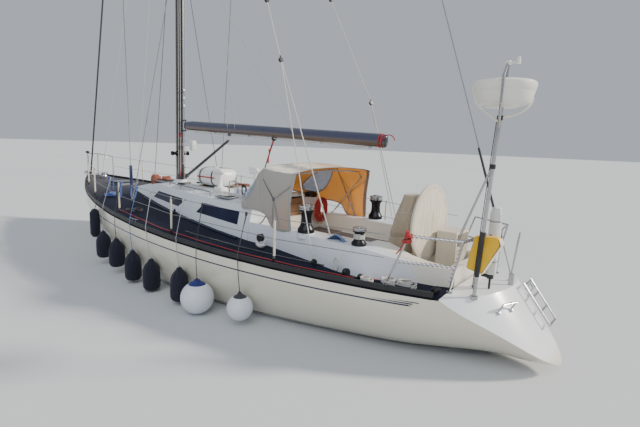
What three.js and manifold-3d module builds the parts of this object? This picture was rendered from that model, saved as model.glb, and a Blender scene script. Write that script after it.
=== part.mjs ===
// A 13 m sloop with a reversed transom, afloat: hull, deck gear, rig and the fenders along its port side.
// Millimetres. +X points to the bow, +Y to port, +Z up. The origin lies on the waterline, on the
// centreline, below the after edge of the teak deck.
import * as THREE from "three";
import { mergeVertices } from "three/addons/utils/BufferGeometryUtils.js";
import Module from "manifold-3d";

const wasm = await Module();
wasm.setup();

// Driving dimensions
const GAP = 0.3;
const STEM_X = 12060;
const DECK_END_X = -30;
const TEAK_FORE_X = 11820;
const DRAFT = 2250;
const TEAK = 25;
const CROWN_PER_BEAM = 0.05;

// Hull stations: x, half beam at the sheer, height of the sheer, height of the keel line, fullness
const STATIONS = [
  { x: -1400, beam: 482, sheer: 907, keel: 250, full: 1.6 },
  { x: -1000, beam: 700, sheer: 905, keel: 100, full: 1.6 },
  { x: -500, beam: 890, sheer: 903, keel: 80, full: 1.65 },
  { x: 0, beam: 1063, sheer: 903, keel: 10, full: 1.85 },
  { x: 600, beam: 1258, sheer: 905, keel: -95, full: 2.0 },
  { x: 1400, beam: 1478, sheer: 913, keel: -210, full: 2.0 },
  { x: 2200, beam: 1645, sheer: 924, keel: -330, full: 2.05 },
  { x: 3200, beam: 1790, sheer: 944, keel: -450, full: 2.15 },
  { x: 4300, beam: 1870, sheer: 976, keel: -550, full: 2.2 },
  { x: 5500, beam: 1866, sheer: 1020, keel: -600, full: 2.2 },
  { x: 6700, beam: 1765, sheer: 1073, keel: -590, full: 2.15 },
  { x: 7900, beam: 1560, sheer: 1137, keel: -530, full: 2.0 },
  { x: 9000, beam: 1284, sheer: 1205, keel: -440, full: 1.8 },
  { x: 10000, beam: 951, sheer: 1274, keel: -340, full: 1.6 },
  { x: 10800, beam: 625, sheer: 1335, keel: -240, full: 1.45 },
  { x: 11400, beam: 345, sheer: 1383, keel: -120, full: 1.35 },
  { x: 11740, beam: 178, sheer: 1412, keel: 20, full: 1.3 },
  { x: 11900, beam: 100, sheer: 1425, keel: 460, full: 1.3 },
  { x: 12000, beam: 56, sheer: 1433, keel: 800, full: 1.3 },
  { x: STEM_X, beam: 26, sheer: 1439, keel: 1150, full: 1.3 },
];

// The reversed transom is part of a leaning cylinder
const TRANSOM = { topX: -550, topZ: 950, footX: -1066, footZ: 280, radius: 1500 };

const COLOURS = {
  gelcoat: 0xe4dfcf,
  antifoul: 0x2a2f3a,
  teak: 0x2f3036,
  white: 0xe8ecf0,
  glass: 0x14181f,
  steel: 0xc9ccd0,
  black: 0x15171b,
  alloy: 0x8d9298,
  canvas: 0xb9ad98,
  navy: 0x1b2340,
  yellow: 0xe2b21c,
  bronze: 0x9a7a44,
  seat: 0x8a8390,
};

function material(colour, roughness = 0.5, metalness = 0) {
  return new THREE.MeshStandardMaterial({ color: COLOURS[colour], roughness, metalness });
}

// Solids and geometries
function toSolid(geometry) {
  const bare = geometry.clone();
  bare.deleteAttribute("normal");
  bare.deleteAttribute("uv");
  const merged = mergeVertices(bare, 1e-3);
  return new wasm.Manifold(
    new wasm.Mesh({
      numProp: 3,
      vertProperties: merged.attributes.position.array,
      triVerts: new Uint32Array(merged.index.array),
    }),
  );
}

function toGeometry(solid) {
  const mesh = solid.getMesh();
  const geometry = new THREE.BufferGeometry();
  geometry.setAttribute("position", new THREE.BufferAttribute(new Float32Array(mesh.vertProperties), 3));
  geometry.setIndex(new THREE.BufferAttribute(new Uint32Array(mesh.triVerts), 1));
  geometry.computeVertexNormals();
  return geometry;
}

function union(geometries) {
  return geometries.map(toSolid).reduce((sum, next) => sum.add(next));
}

function box(x0, x1, y0, y1, z0, z1) {
  const geometry = new THREE.BoxGeometry(x1 - x0, y1 - y0, z1 - z0);
  return geometry.translate((x0 + x1) / 2, (y0 + y1) / 2, (z0 + z1) / 2);
}

// A round bar between two points, thinner at its far end where endRadius says so
function bar(from, to, radius, sides = 8, endRadius = radius) {
  const a = new THREE.Vector3(...from);
  const b = new THREE.Vector3(...to);
  const along = b.clone().sub(a);
  const geometry = new THREE.CylinderGeometry(endRadius, radius, along.length(), sides);
  const turn = new THREE.Quaternion().setFromUnitVectors(
    new THREE.Vector3(0, 1, 0),
    along.clone().normalize(),
  );
  return geometry.applyQuaternion(turn).translate(...a.add(b).multiplyScalar(0.5).toArray());
}

// A solid trimmed so that it stands a gap above what carries it
function seated(solid, carrier) {
  return solid.subtract(carrier.translate([0, 0, GAP]));
}

// The radius of a hole's corners, so that its flats stay a gap clear of a pin
function boreRadius(pinRadius, sides, clear = GAP) {
  return (pinRadius + clear) / Math.cos(Math.PI / sides);
}

// A round tube along a run of points, mitred at each corner
function rail(points, radius, sides = 8) {
  const path = points.map((point) => new THREE.Vector3(...point));
  const along = path.slice(1).map((point, i) => point.clone().sub(path[i]).normalize());
  let u = new THREE.Vector3(0, 0, 1).cross(along[0]);
  if (u.length() < 0.1) u = new THREE.Vector3(1, 0, 0).cross(along[0]);
  u.normalize();
  const rings = path.map((point, i) => {
    const before = along[Math.max(0, i - 1)];
    const after = along[Math.min(along.length - 1, i)];
    const mitre = before.clone().add(after).normalize();
    const v = before.clone().cross(u);
    const ring = [];
    for (let j = 0; j < sides; j += 1) {
      const angle = (j * 2 * Math.PI) / sides;
      const spoke = u.clone().multiplyScalar(radius * Math.cos(angle)).addScaledVector(v, radius * Math.sin(angle));
      spoke.addScaledVector(before, -spoke.dot(mitre) / before.dot(mitre));
      ring.push(spoke.add(point).toArray());
    }
    u.applyQuaternion(new THREE.Quaternion().setFromUnitVectors(before, after)).normalize();
    return ring;
  });
  return loft(rings);
}

// A solid of revolution about the vertical line through a point; the profile holds radius and height
function turned(profile, at, sides = 20) {
  const points = profile.map(([radius, height]) => new THREE.Vector2(radius, height));
  const geometry = new THREE.LatheGeometry(points, sides);
  return geometry.rotateX(Math.PI / 2).translate(...at);
}

// A closed skin over rings of equal length, each ring a list of [x, y, z] that runs the same way round
function loft(rings) {
  const count = rings[0].length;
  const positions = rings.flat(2);
  const index = [];
  for (let i = 0; i < rings.length - 1; i += 1) {
    for (let j = 0; j < count; j += 1) {
      const k = (j + 1) % count;
      const a = i * count + j;
      const b = i * count + k;
      const c = (i + 1) * count + k;
      const d = (i + 1) * count + j;
      index.push(a, b, c, a, c, d);
    }
  }
  [rings[0], rings[rings.length - 1]].forEach((ring, end) => {
    const flat = ring.map(([x, y, z]) => new THREE.Vector3(x, y, z));
    const centre = flat.reduce((sum, p) => sum.add(p), new THREE.Vector3()).divideScalar(count);
    const hub = positions.length / 3;
    positions.push(...centre.toArray());
    const base = end === 0 ? 0 : (rings.length - 1) * count;
    for (let j = 0; j < count; j += 1) {
      const k = (j + 1) % count;
      if (end === 0) index.push(base + k, base + j, hub);
      else index.push(base + j, base + k, hub);
    }
  });
  return outwards(positions, index);
}

// A closed skin between an outer and an inner grid of points, both given row by row
function skin(outer, inner) {
  const rows = outer.length;
  const columns = outer[0].length;
  const positions = [...outer.flat(2), ...inner.flat(2)];
  const index = [];
  const at = (i, j, side) => side * rows * columns + i * columns + j;
  const quad = (a, b, c, d) => index.push(a, b, c, a, c, d);
  for (let i = 0; i < rows - 1; i += 1) {
    for (let j = 0; j < columns - 1; j += 1) {
      quad(at(i, j, 0), at(i, j + 1, 0), at(i + 1, j + 1, 0), at(i + 1, j, 0));
      quad(at(i, j, 1), at(i + 1, j, 1), at(i + 1, j + 1, 1), at(i, j + 1, 1));
    }
    quad(at(i, 0, 0), at(i + 1, 0, 0), at(i + 1, 0, 1), at(i, 0, 1));
    const end = columns - 1;
    quad(at(i, end, 0), at(i, end, 1), at(i + 1, end, 1), at(i + 1, end, 0));
  }
  for (let j = 0; j < columns - 1; j += 1) {
    quad(at(0, j, 0), at(0, j, 1), at(0, j + 1, 1), at(0, j + 1, 0));
    const end = rows - 1;
    quad(at(end, j, 0), at(end, j + 1, 0), at(end, j + 1, 1), at(end, j, 1));
  }
  return outwards(positions, index);
}

// A geometry whose faces point out, whichever way round its rings were given
function outwards(positions, index) {
  const geometry = new THREE.BufferGeometry();
  geometry.setAttribute("position", new THREE.Float32BufferAttribute(positions, 3));
  geometry.setIndex(index);
  if (toSolid(geometry).volume() > 0) return geometry;
  const flipped = index.slice();
  for (let i = 0; i < flipped.length; i += 3) {
    [flipped[i + 1], flipped[i + 2]] = [flipped[i + 2], flipped[i + 1]];
  }
  return geometry.setIndex(flipped);
}

// Values of the hull between its stations
function stationAt(x) {
  const last = STATIONS.length - 2;
  let i = STATIONS.findIndex((s, n) => n > 0 && x <= s.x) - 1;
  if (i < 0) i = x < STATIONS[0].x ? 0 : last;
  const a = STATIONS[i];
  const b = STATIONS[i + 1];
  const t = (x - a.x) / (b.x - a.x);
  const mix = (key) => a[key] + (b[key] - a[key]) * t;
  return { x, beam: mix("beam"), sheer: mix("sheer"), keel: mix("keel"), full: mix("full") };
}

const SIDE_STEPS = 9;
const CROWN_STEPS = 8;
const SECTIONS = [...STATIONS, stationAt(DECK_END_X), stationAt(TEAK_FORE_X)].sort((a, b) => a.x - b.x);

function crown(s, across) {
  return s.sheer + CROWN_PER_BEAM * s.beam * (1 - across * across);
}

function crownPoints(s, lift) {
  const points = [];
  for (let j = 0; j <= CROWN_STEPS; j += 1) {
    const across = -1 + (2 * j) / CROWN_STEPS;
    points.push([s.x, across * s.beam, crown(s, across) + lift]);
  }
  return points;
}

// Height of the hull's faceted top at a point of the deck
function deckHeight(x, y) {
  const s = stationAt(x);
  const step = 2 / CROWN_STEPS;
  const across = Math.min(0.999, Math.abs(y) / s.beam);
  const inner = Math.floor(across / step) * step;
  const share = (across - inner) / step;
  return crown(s, inner) + share * (crown(s, inner + step) - crown(s, inner));
}

// Height at which a round foot of a radius rests on the deck, above its highest edge
function seatHeight(x, y, radius) {
  const near = [x - radius, x + radius].flatMap((u) => [y - radius, y, y + radius].map((v) => deckHeight(u, v)));
  return Math.max(...near) + TEAK + GAP;
}

function hullRing(s) {
  const ring = crownPoints(s, 0);
  for (let j = 1; j < 2 * SIDE_STEPS; j += 1) {
    const angle = (j / (2 * SIDE_STEPS)) * Math.PI;
    const across = Math.cos(angle);
    const down = Math.sin(angle);
    const y = Math.sign(across) * s.beam * Math.abs(across) ** (2 / s.full);
    const z = s.sheer - (s.sheer - s.keel) * down ** (2 / s.full);
    ring.push([s.x, Math.abs(y) < 1e-6 ? 0 : y, z]);
  }
  return ring;
}

// A plate that follows the crown of the deck between two sections
function deckPlate(fromX, toX, bottom, top) {
  const sections = SECTIONS.filter((s) => s.x >= fromX && s.x <= toX);
  return loft(sections.map((s) => [...crownPoints(s, bottom), ...crownPoints(s, top).reverse()]));
}

// The teak and all below it, as one block for what stands on the deck
function underTeak() {
  return toSolid(deckPlate(DECK_END_X, TEAK_FORE_X, -200, TEAK));
}

// Everything abaft the transom's face, as a solid to cut away
function abaftTransom() {
  const lean = Math.atan2(TRANSOM.topX - TRANSOM.footX, TRANSOM.topZ - TRANSOM.footZ);
  const height = 6000;
  const drum = new THREE.CylinderGeometry(TRANSOM.radius, TRANSOM.radius, height, 96);
  drum.rotateX(Math.PI / 2);
  drum.rotateZ(Math.PI / 96);
  drum.translate(TRANSOM.radius, 0, 0);
  drum.rotateY(lean);
  drum.translate(TRANSOM.topX, 0, TRANSOM.topZ);
  const forward = box(TRANSOM.radius, 20000, -5000, 5000, -height / 2, height / 2);
  forward.rotateY(lean);
  forward.translate(TRANSOM.topX, 0, TRANSOM.topZ);
  const inside = toSolid(drum).add(toSolid(forward));
  return toSolid(box(-4000, 1200, -3000, 3000, -3000, 3000)).subtract(inside);
}

const group = new THREE.Group();

function add(name, shape, look, position = [0, 0, 0]) {
  const geometry = shape instanceof wasm.Manifold ? toGeometry(shape) : shape;
  const mesh = new THREE.Mesh(geometry, look);
  mesh.name = name;
  mesh.position.set(...position);
  group.add(mesh);
}

// Cockpit: the well in the hull and the moulding that stands round it
const COCKPIT = {
  foreX: 3340,
  aftX: 60,
  soleZ: 680,
  seatZ: 1040,
  footHalf: 360,
  helmHalf: 560,
  seatHalf: 800,
  coamingTop: 1330,
  helmX: 1180,
};
// Coaming outline: x, outer half width at the deck, height of the top
const COAMING = [
  { x: 0, half: 640, top: 1180 },
  { x: 190, half: 730, top: 1180 },
  { x: 420, half: 790, top: 1190 },
  { x: 640, half: 905, top: 1225 },
  { x: 820, half: 1045, top: 1285 },
  { x: 980, half: 1145, top: 1330 },
  { x: 1400, half: 1150, top: 1330 },
  { x: 1930, half: 1090, top: 1330 },
  { x: 2830, half: 1010, top: 1330 },
  { x: 3340, half: 1050, top: 1330 },
];

// Coachroof stations: x, half width at the deck, half width of the roof, roof height, drop to its edge
const COACHROOF = [
  { x: 3345, base: 1050, top: 930, roof: 1660, drop: 90 },
  { x: 4200, base: 1000, top: 880, roof: 1660, drop: 90 },
  { x: 5200, base: 890, top: 780, roof: 1655, drop: 80 },
  { x: 6200, base: 740, top: 620, roof: 1650, drop: 65 },
  { x: 6975, base: 590, top: 470, roof: 1646, drop: 50 },
  { x: 7800, base: 400, top: 280, roof: 1560, drop: 30 },
  { x: 8500, base: 235, top: 150, roof: 1440, drop: 15 },
  { x: 9200, base: 60, top: 35, roof: 1315, drop: 4 },
];
const SIDE_WINDOWS = [
  { name: "aft", foreX: 5040, aftX: 3660, rake: 0, low: 1235, high: 1450 },
  { name: "forward", foreX: 7300, aftX: 5540, rake: 300, low: 1262, high: 1435 },
];
const PANE = 12;

// Rig
const MAST = { x: 6975, foot: 1620, top: 21140, rake: 1.25, long: 250, wide: 156 };
const BOOM = { pivotX: 6730, pivotZ: 2930, aftX: 1450, aftZ: 2710, deep: 190, wide: 110 };
const SPREADERS = [
  { height: 6790, half: 1340, sweep: 120 },
  { height: 11700, half: 1080, sweep: 110 },
  { height: 16300, half: 760, sweep: 90 },
];
const CHAINPLATE = { x: 6990, y: 1155 };

function mastX(z) {
  return MAST.x - (z - MAST.foot) * Math.tan((MAST.rake * Math.PI) / 180);
}

// The block of the cockpit's well, wide between the seats and narrow round the wheel
function cockpitTub(shrink, topZ) {
  const { aftX, helmX, foreX, helmHalf, seatHalf, soleZ } = COCKPIT;
  const low = soleZ - 60 + shrink;
  const wide = box(helmX, foreX - shrink, shrink - seatHalf, seatHalf - shrink, low, topZ);
  const narrow = box(aftX + shrink, helmX + 50, shrink - helmHalf, helmHalf - shrink, low, topZ);
  return toSolid(wide).add(toSolid(narrow));
}

function makeHull() {
  const body = toSolid(loft(SECTIONS.map(hullRing)));
  const afterDeck = toSolid(deckPlate(-2000, DECK_END_X, -5, TEAK));
  const well = cockpitTub(0, 2000);
  const stockHole = toSolid(bar([RUDDER.x, 0, -400], [RUDDER.x, 0, 400], boreRadius(RUDDER.stock, 20), 20));
  const leg = makeLeg().translate([-LEG.x, 0, 0]).scale([1.006, 1.014, 1]).translate([LEG.x, 0, 0]);
  const socket = leg.add(leg.translate([0, 0, 2]));
  const holes = [well, abaftTransom(), stockHole, socket];
  return ladderLugs(holes.reduce((left, hole) => left.subtract(hole), body.add(afterDeck)));
}

// Underwater gear
const RUDDER = { x: 560, stock: 30, top: -150, bottom: -1750, fore: 150, aftTop: 520, aftLow: 330, thick: 90 };
const LEG = { x: 2200, propX: 2010, propZ: -760, half: 40, propRadius: 230 };
const KEEL = { rootX: 4500, root: 2100, tipX: 4750, tip: 1450, thick: 210 };

// A symmetrical foil section of a chord, as [x, y] points round the leading and trailing edges
function foil(noseX, chord, thickness) {
  const SHAPE = [0, 0.02, 0.08, 0.2, 0.35, 0.55, 0.75, 1];
  const half = SHAPE.map((t) => {
    const width = 2.969 * Math.sqrt(t) - 1.26 * t - 3.516 * t ** 2 + 2.843 * t ** 3 - 1.015 * t ** 4;
    return [noseX - t * chord, Math.max(2, (width * thickness) / 2)];
  });
  const port = half.slice(1);
  return [[noseX, 0], ...port, ...port.map(([x, y]) => [x, -y]).reverse()];
}

function makeKeel(hull) {
  const rings = [
    { z: -300, nose: KEEL.rootX + KEEL.root, chord: KEEL.root, thick: KEEL.thick },
    { z: -DRAFT + 120, nose: KEEL.tipX + KEEL.tip, chord: KEEL.tip, thick: KEEL.thick * 1.1 },
    { z: -DRAFT, nose: KEEL.tipX + KEEL.tip - 60, chord: KEEL.tip - 60, thick: KEEL.thick * 0.7 },
  ].map((r) => foil(r.nose, r.chord, r.thick).map(([x, y]) => [x, y, r.z]));
  return toSolid(loft(rings)).subtract(hull.translate([0, 0, -GAP]));
}

function makeRudder() {
  const rings = [
    { z: RUDDER.top, aft: RUDDER.aftTop, thick: RUDDER.thick },
    { z: RUDDER.bottom, aft: RUDDER.aftLow, thick: RUDDER.thick * 0.6 },
  ].map((r) => foil(RUDDER.x + RUDDER.fore, RUDDER.fore + r.aft, r.thick).map(([x, y]) => [x, y, r.z]));
  const stock = bar([RUDDER.x, 0, RUDDER.top - 400], [RUDDER.x, 0, 380], RUDDER.stock, 20);
  return toSolid(loft(rings)).add(toSolid(stock));
}

function makeLeg() {
  const rings = [
    { z: 110, nose: LEG.x + 130, chord: 260, thick: 100 },
    { z: LEG.propZ, nose: LEG.x + 100, chord: 230, thick: 70 },
  ].map((r) => foil(r.nose, r.chord, r.thick).map(([x, y]) => [x, y, r.z]));
  const gearcase = bar([LEG.x + 130, 0, LEG.propZ], [LEG.propX + 12, 0, LEG.propZ], 55, 16, 48);
  const shaft = bar([LEG.x, 0, LEG.propZ], [LEG.propX - 120, 0, LEG.propZ], 14, 16);
  return toSolid(loft(rings)).add(toSolid(gearcase)).add(toSolid(shaft));
}

function makePropeller() {
  const hub = new THREE.CylinderGeometry(46, 34, 140, 14).rotateZ(-Math.PI / 2);
  const blades = [0, 1, 2].map((i) => {
    const blade = new THREE.SphereGeometry(1, 8, 6).scale(9, 62, 105);
    blade.rotateZ(0.5);
    blade.translate(0, 0, LEG.propRadius - 105);
    return toSolid(blade.rotateX((i * 2 * Math.PI) / 3));
  });
  const bore = bar([-200, 0, 0], [200, 0, 0], 15, 16);
  return blades.reduce((sum, next) => sum.add(next), toSolid(hub)).subtract(toSolid(bore));
}

function makeTeakDeck() {
  const plate = toSolid(deckPlate(DECK_END_X, TEAK_FORE_X, GAP, TEAK));
  const cockpit = toSolid(
    loft(
      COAMING.map((c) => [
        [c.x, -c.half - GAP, 700],
        [c.x, c.half + GAP, 700],
        [c.x, c.half + GAP, 1400],
        [c.x, -c.half - GAP, 1400],
      ]),
    ),
  );
  const foreHalf = COAMING[COAMING.length - 1].half + GAP;
  const before = toSolid(box(COCKPIT.foreX - 60, COCKPIT.foreX + GAP, -foreHalf, foreHalf, 700, 1400));
  const aft = toSolid(box(-200, 1, -COAMING[0].half - GAP, COAMING[0].half + GAP, 700, 1400));
  const end = toSolid(box(-500, DECK_END_X + GAP, -2000, 2000, 500, 2000));
  return plate.subtract(cockpit).subtract(before).subtract(aft).subtract(end);
}

const TOE_RAIL = { high: 62, wide: 34, inset: 4, foreX: 11500, aftX: 40 };

function makeToeRail(sign) {
  const { inset, wide, high, aftX, foreX } = TOE_RAIL;
  const between = STATIONS.map((s) => s.x).filter((x) => x > aftX + 100 && x < foreX);
  const rings = [aftX, ...between, foreX].map((x) => {
    const outer = stationAt(x).beam - inset;
    const inner = outer - wide;
    const outerFoot = deckHeight(x, outer) + TEAK + GAP;
    const innerFoot = deckHeight(x, inner) + TEAK + GAP;
    return [
      [x, sign * outer, outerFoot],
      [x, sign * outer, innerFoot + high],
      [x, sign * inner, innerFoot + high],
      [x, sign * inner, innerFoot],
    ];
  });
  return loft(rings);
}

function coachroofRing(c) {
  const low = 700;
  const edge = c.roof - c.drop;
  const deck = deckHeight(c.x, c.base) + TEAK;
  return [
    [c.x, -c.base, low],
    [c.x, -c.base, deck],
    [c.x, -c.top, Math.max(deck + 1, edge)],
    [c.x, -c.top * 0.55, c.roof - c.drop * 0.3],
    [c.x, 0, c.roof],
    [c.x, c.top * 0.55, c.roof - c.drop * 0.3],
    [c.x, c.top, Math.max(deck + 1, edge)],
    [c.x, c.base, deck],
    [c.x, c.base, low],
  ];
}

const HOOD = { foreX: 4480, aftX: 3860, half: 400, top: 1745 };
const SLIDE = { foreX: 3905, aftX: 3345, half: 340, thick: 28, z: 1672 };
const COMPANION = { half: 300, sill: 1150, foreX: 3850, board: 25 };

function makeCoachroof() {
  const below = toSolid(deckPlate(2000, 10000, -900, TEAK + GAP));
  let roof = toSolid(loft(COACHROOF.map(coachroofRing))).subtract(below);
  const foreWall = 30;
  const run = 8;
  const hood = box(HOOD.aftX, HOOD.foreX, -HOOD.half, HOOD.half, 1500, HOOD.top);
  const runners = [1, -1].map((sign) => {
    const y = sign * (SLIDE.half - 15);
    return box(COACHROOF[0].x + 5, SLIDE.foreX, y - 12, y + 12, 1600, SLIDE.z - GAP);
  });
  const slot = box(
    3000,
    HOOD.foreX - foreWall,
    -SLIDE.half - run,
    SLIDE.half + run,
    SLIDE.z - run,
    SLIDE.z + SLIDE.thick + run,
  );
  const entry = box(3000, COMPANION.foreX, -COMPANION.half, COMPANION.half, COMPANION.sill, SLIDE.z);
  roof = roof.add(toSolid(hood)).subtract(toSolid(slot)).subtract(toSolid(entry));
  roof = roof.add(toSolid(runners[0])).add(toSolid(runners[1]));
  SIDE_WINDOWS.forEach((w) => {
    [1, -1].forEach((sign) => {
      roof = roof.subtract(windowShape(w, sign, GAP, PANE + 4, 60));
    });
  });
  return roof;
}

// A side window as a block let into the coachroof's leaning side, larger by a margin all round
function windowShape(w, sign, margin = 0, depth = PANE, proud = 3) {
  const halfAt = (x, z) => {
    const i = COACHROOF.findIndex((c, n) => n > 0 && x <= c.x) - 1;
    const a = COACHROOF[i];
    const b = COACHROOF[i + 1];
    const t = (x - a.x) / (b.x - a.x);
    const mix = (key) => a[key] + (b[key] - a[key]) * t;
    const deck = deckHeight(x, mix("base")) + TEAK;
    const edge = mix("roof") - mix("drop");
    return mix("base") + ((z - deck) / (edge - deck)) * (mix("top") - mix("base"));
  };
  const outline = [
    [w.aftX + w.rake - 4 * margin, w.low - margin],
    [w.foreX + 3 * margin, w.low + 25 - margin],
    [w.foreX - 240 + 3 * margin, w.high + 10 + margin],
    [w.aftX - 4 * margin, w.high + margin],
  ];
  const outer = outline.map(([x, z]) => [x, sign * (halfAt(x, z) + proud), z]);
  const inner = outline.map(([x, z]) => [x, sign * (halfAt(x, z) - depth), z]);
  return toSolid(loft([inner, outer]));
}

function makeCockpit(hull) {
  const rings = COAMING.map((c) => {
    const foot = deckHeight(c.x, c.half) - 60;
    return [
      [c.x, -c.half, foot],
      [c.x, -c.half + 60, c.top],
      [c.x, c.half - 60, c.top],
      [c.x, c.half, foot],
    ];
  });
  let body = seated(toSolid(loft(rings)), hull);
  body = body.add(cockpitTub(GAP, 1100));
  const seats = box(COCKPIT.helmX, COCKPIT.foreX - 60, -720, 720, COCKPIT.seatZ, 2000);
  const foot = box(COCKPIT.helmX - 10, COCKPIT.foreX - 60, -COCKPIT.footHalf, COCKPIT.footHalf, COCKPIT.soleZ, 2000);
  const helm = box(COCKPIT.aftX + 40, COCKPIT.helmX + 10, 60 - COCKPIT.helmHalf, COCKPIT.helmHalf - 60, COCKPIT.soleZ + 100, 2000);
  body = body.subtract(toSolid(seats)).subtract(toSolid(foot)).subtract(toSolid(helm));
  [1, -1].forEach((sign) => {
    const [near, far] = [LOCKER.inY * sign, LOCKER.outY * sign].sort((a, b) => a - b);
    const floor = COCKPIT.seatZ - LOCKER.thick - LOCKER.clear;
    body = body.subtract(toSolid(box(LOCKER.aftX, LOCKER.foreX, near, far, floor, 1500)));
    [[LOCKER.aftX - 10, LOCKER.aftX + LOCKER.pinLong], [LOCKER.foreX - LOCKER.pinLong, LOCKER.foreX + 10]].forEach(
      ([from, to]) => {
        const z = COCKPIT.seatZ - LOCKER.thick / 2;
        const y = sign * LOCKER.axisY;
        body = body.add(toSolid(bar([from, y, z], [to, y, z], LOCKER.pin, 12)));
      },
    );
  });
  WINCHES.filter((w) => w.on === "coaming").forEach((w) => {
    const pad = bar([w.x, w.y, COCKPIT.coamingTop - 60], [w.x, w.y, w.z - 8], w.radius * 1.08, 16);
    const pin = bar([w.x, w.y, COCKPIT.coamingTop - 60], [w.x, w.y, w.z + w.high * 0.6], 18, 12);
    body = body.add(toSolid(pad)).add(toSolid(pin));
  });
  return body;
}

// Winches: where each stands, the height of its foot, its radius and height
const WINCHES = [
  { name: "winch_primary_port", x: 1150, y: 1000, z: 1350, radius: 100, high: 240, on: "coaming" },
  { name: "winch_primary_starboard", x: 1150, y: -1000, z: 1350, radius: 100, high: 240, on: "coaming" },
  { name: "winch_secondary_port", x: 2150, y: 930, z: 1350, radius: 125, high: 420, on: "coaming" },
  { name: "winch_secondary_starboard", x: 2150, y: -930, z: 1350, radius: 125, high: 420, on: "coaming" },
];

function winchDrum(w) {
  const profile = [
    [0, 0],
    [w.radius, 0],
    [w.radius, w.high * 0.12],
    [w.radius * 0.68, w.high * 0.25],
    [w.radius * 0.64, w.high * 0.62],
    [w.radius * 0.95, w.high * 0.72],
    [w.radius * 0.95, w.high * 0.95],
    [w.radius * 0.4, w.high],
    [0, w.high],
  ];
  const bore = bar([0, 0, -5], [0, 0, w.high * 0.7], boreRadius(18, 12), 12);
  const arm = box(-12, w.radius * 1.02, -12, 12, w.high * 0.78, w.high * 0.9);
  return toSolid(turned(profile, [0, 0, 0], 16)).add(toSolid(arm)).subtract(toSolid(bore));
}

const WHEEL = { x: 650, z: 1600, radius: 530, hub: 45, thick: 36 };

function makeBinnacle() {
  const column = toSolid(box(960, 1140, -110, 110, COCKPIT.soleZ + 100 + GAP, 1500));
  const cover = toSolid(
    loft([
      [[760, -150, 1450], [1300, -150, 1450], [1300, 150, 1450], [760, 150, 1450]],
      [[800, -190, 1700], [1320, -190, 1700], [1320, 190, 1700], [800, 190, 1700]],
      [[860, -120, 1960], [1240, -120, 1960], [1240, 120, 1960], [860, 120, 1960]],
    ]),
  );
  const axle = bar([1000, 0, WHEEL.z], [WHEEL.x - 34, 0, WHEEL.z], 14, 16);
  return column.add(cover).add(toSolid(axle));
}

function makeWheel() {
  const rim = new THREE.TorusGeometry(WHEEL.radius - 14, 14, 6, 32).rotateY(Math.PI / 2);
  const disc = new THREE.CylinderGeometry(WHEEL.radius - 14, WHEEL.radius - 14, 12, 32).rotateZ(Math.PI / 2);
  const hub = new THREE.CylinderGeometry(WHEEL.hub, WHEEL.hub, 60, 16).rotateZ(Math.PI / 2);
  const bore = bar([-100, 0, 0], [100, 0, 0], 14.5, 16);
  return union([rim, disc, hub]).subtract(toSolid(bore));
}

function makeMast(roof) {
  const shape = new THREE.Shape();
  shape.absellipse(0, 0, MAST.long / 2, MAST.wide / 2, 0, 2 * Math.PI);
  const tube = new THREE.ExtrudeGeometry(shape, {
    depth: MAST.top - MAST.foot,
    bevelEnabled: false,
    curveSegments: 10,
  });
  const lean = Math.tan((MAST.rake * Math.PI) / 180);
  tube.applyMatrix4(new THREE.Matrix4().makeShear(0, 0, 0, 0, -lean, 0));
  tube.translate(MAST.x, 0, MAST.foot);
  let mast = toSolid(tube);
  SPREADERS.forEach((s) => {
    const x = mastX(s.height);
    [1, -1].forEach((sign) => {
      const arm = bar([x, 0, s.height], [x - s.sweep, sign * s.half, s.height + 40], 42, 10, 20);
      mast = mast.add(toSolid(arm));
    });
  });
  const goose = box(BOOM.pivotX - 20, BOOM.pivotX + 150, -22, 22, BOOM.pivotZ + 100, BOOM.pivotZ + 130);
  const gooseLow = box(BOOM.pivotX - 20, BOOM.pivotX + 150, -22, 22, BOOM.pivotZ - 130, BOOM.pivotZ - 100);
  const pin = bar([BOOM.pivotX, 0, BOOM.pivotZ - 130], [BOOM.pivotX, 0, BOOM.pivotZ + 130], 12, 16);
  const heel = box(BOOM.pivotX - 20, BOOM.pivotX + 200, -22, 22, VANG.footZ - 60, VANG.footZ - 40);
  const heelPin = bar([BOOM.pivotX, 0, VANG.footZ - 60], [BOOM.pivotX, 0, VANG.footZ + 60], 12, 16);
  const heelTop = box(BOOM.pivotX - 20, BOOM.pivotX + 200, -22, 22, VANG.footZ + 40, VANG.footZ + 60);
  mast = [goose, gooseLow, pin, heel, heelPin, heelTop].reduce((sum, g) => sum.add(toSolid(g)), mast);
  const head = box(mastX(MAST.top) - 160, mastX(MAST.top) + 130, -40, 40, MAST.top - 60, MAST.top + 40);
  mast = seated(mast.add(toSolid(head)), roof);
  return mast.subtract(shroudSeats(1)).subtract(shroudSeats(-1));
}

const VANG = { footZ: 1790, boomX: 5150 };

function boomAt(x) {
  const t = (BOOM.pivotX - x) / (BOOM.pivotX - BOOM.aftX);
  return BOOM.pivotZ + (BOOM.aftZ - BOOM.pivotZ) * t;
}

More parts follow.
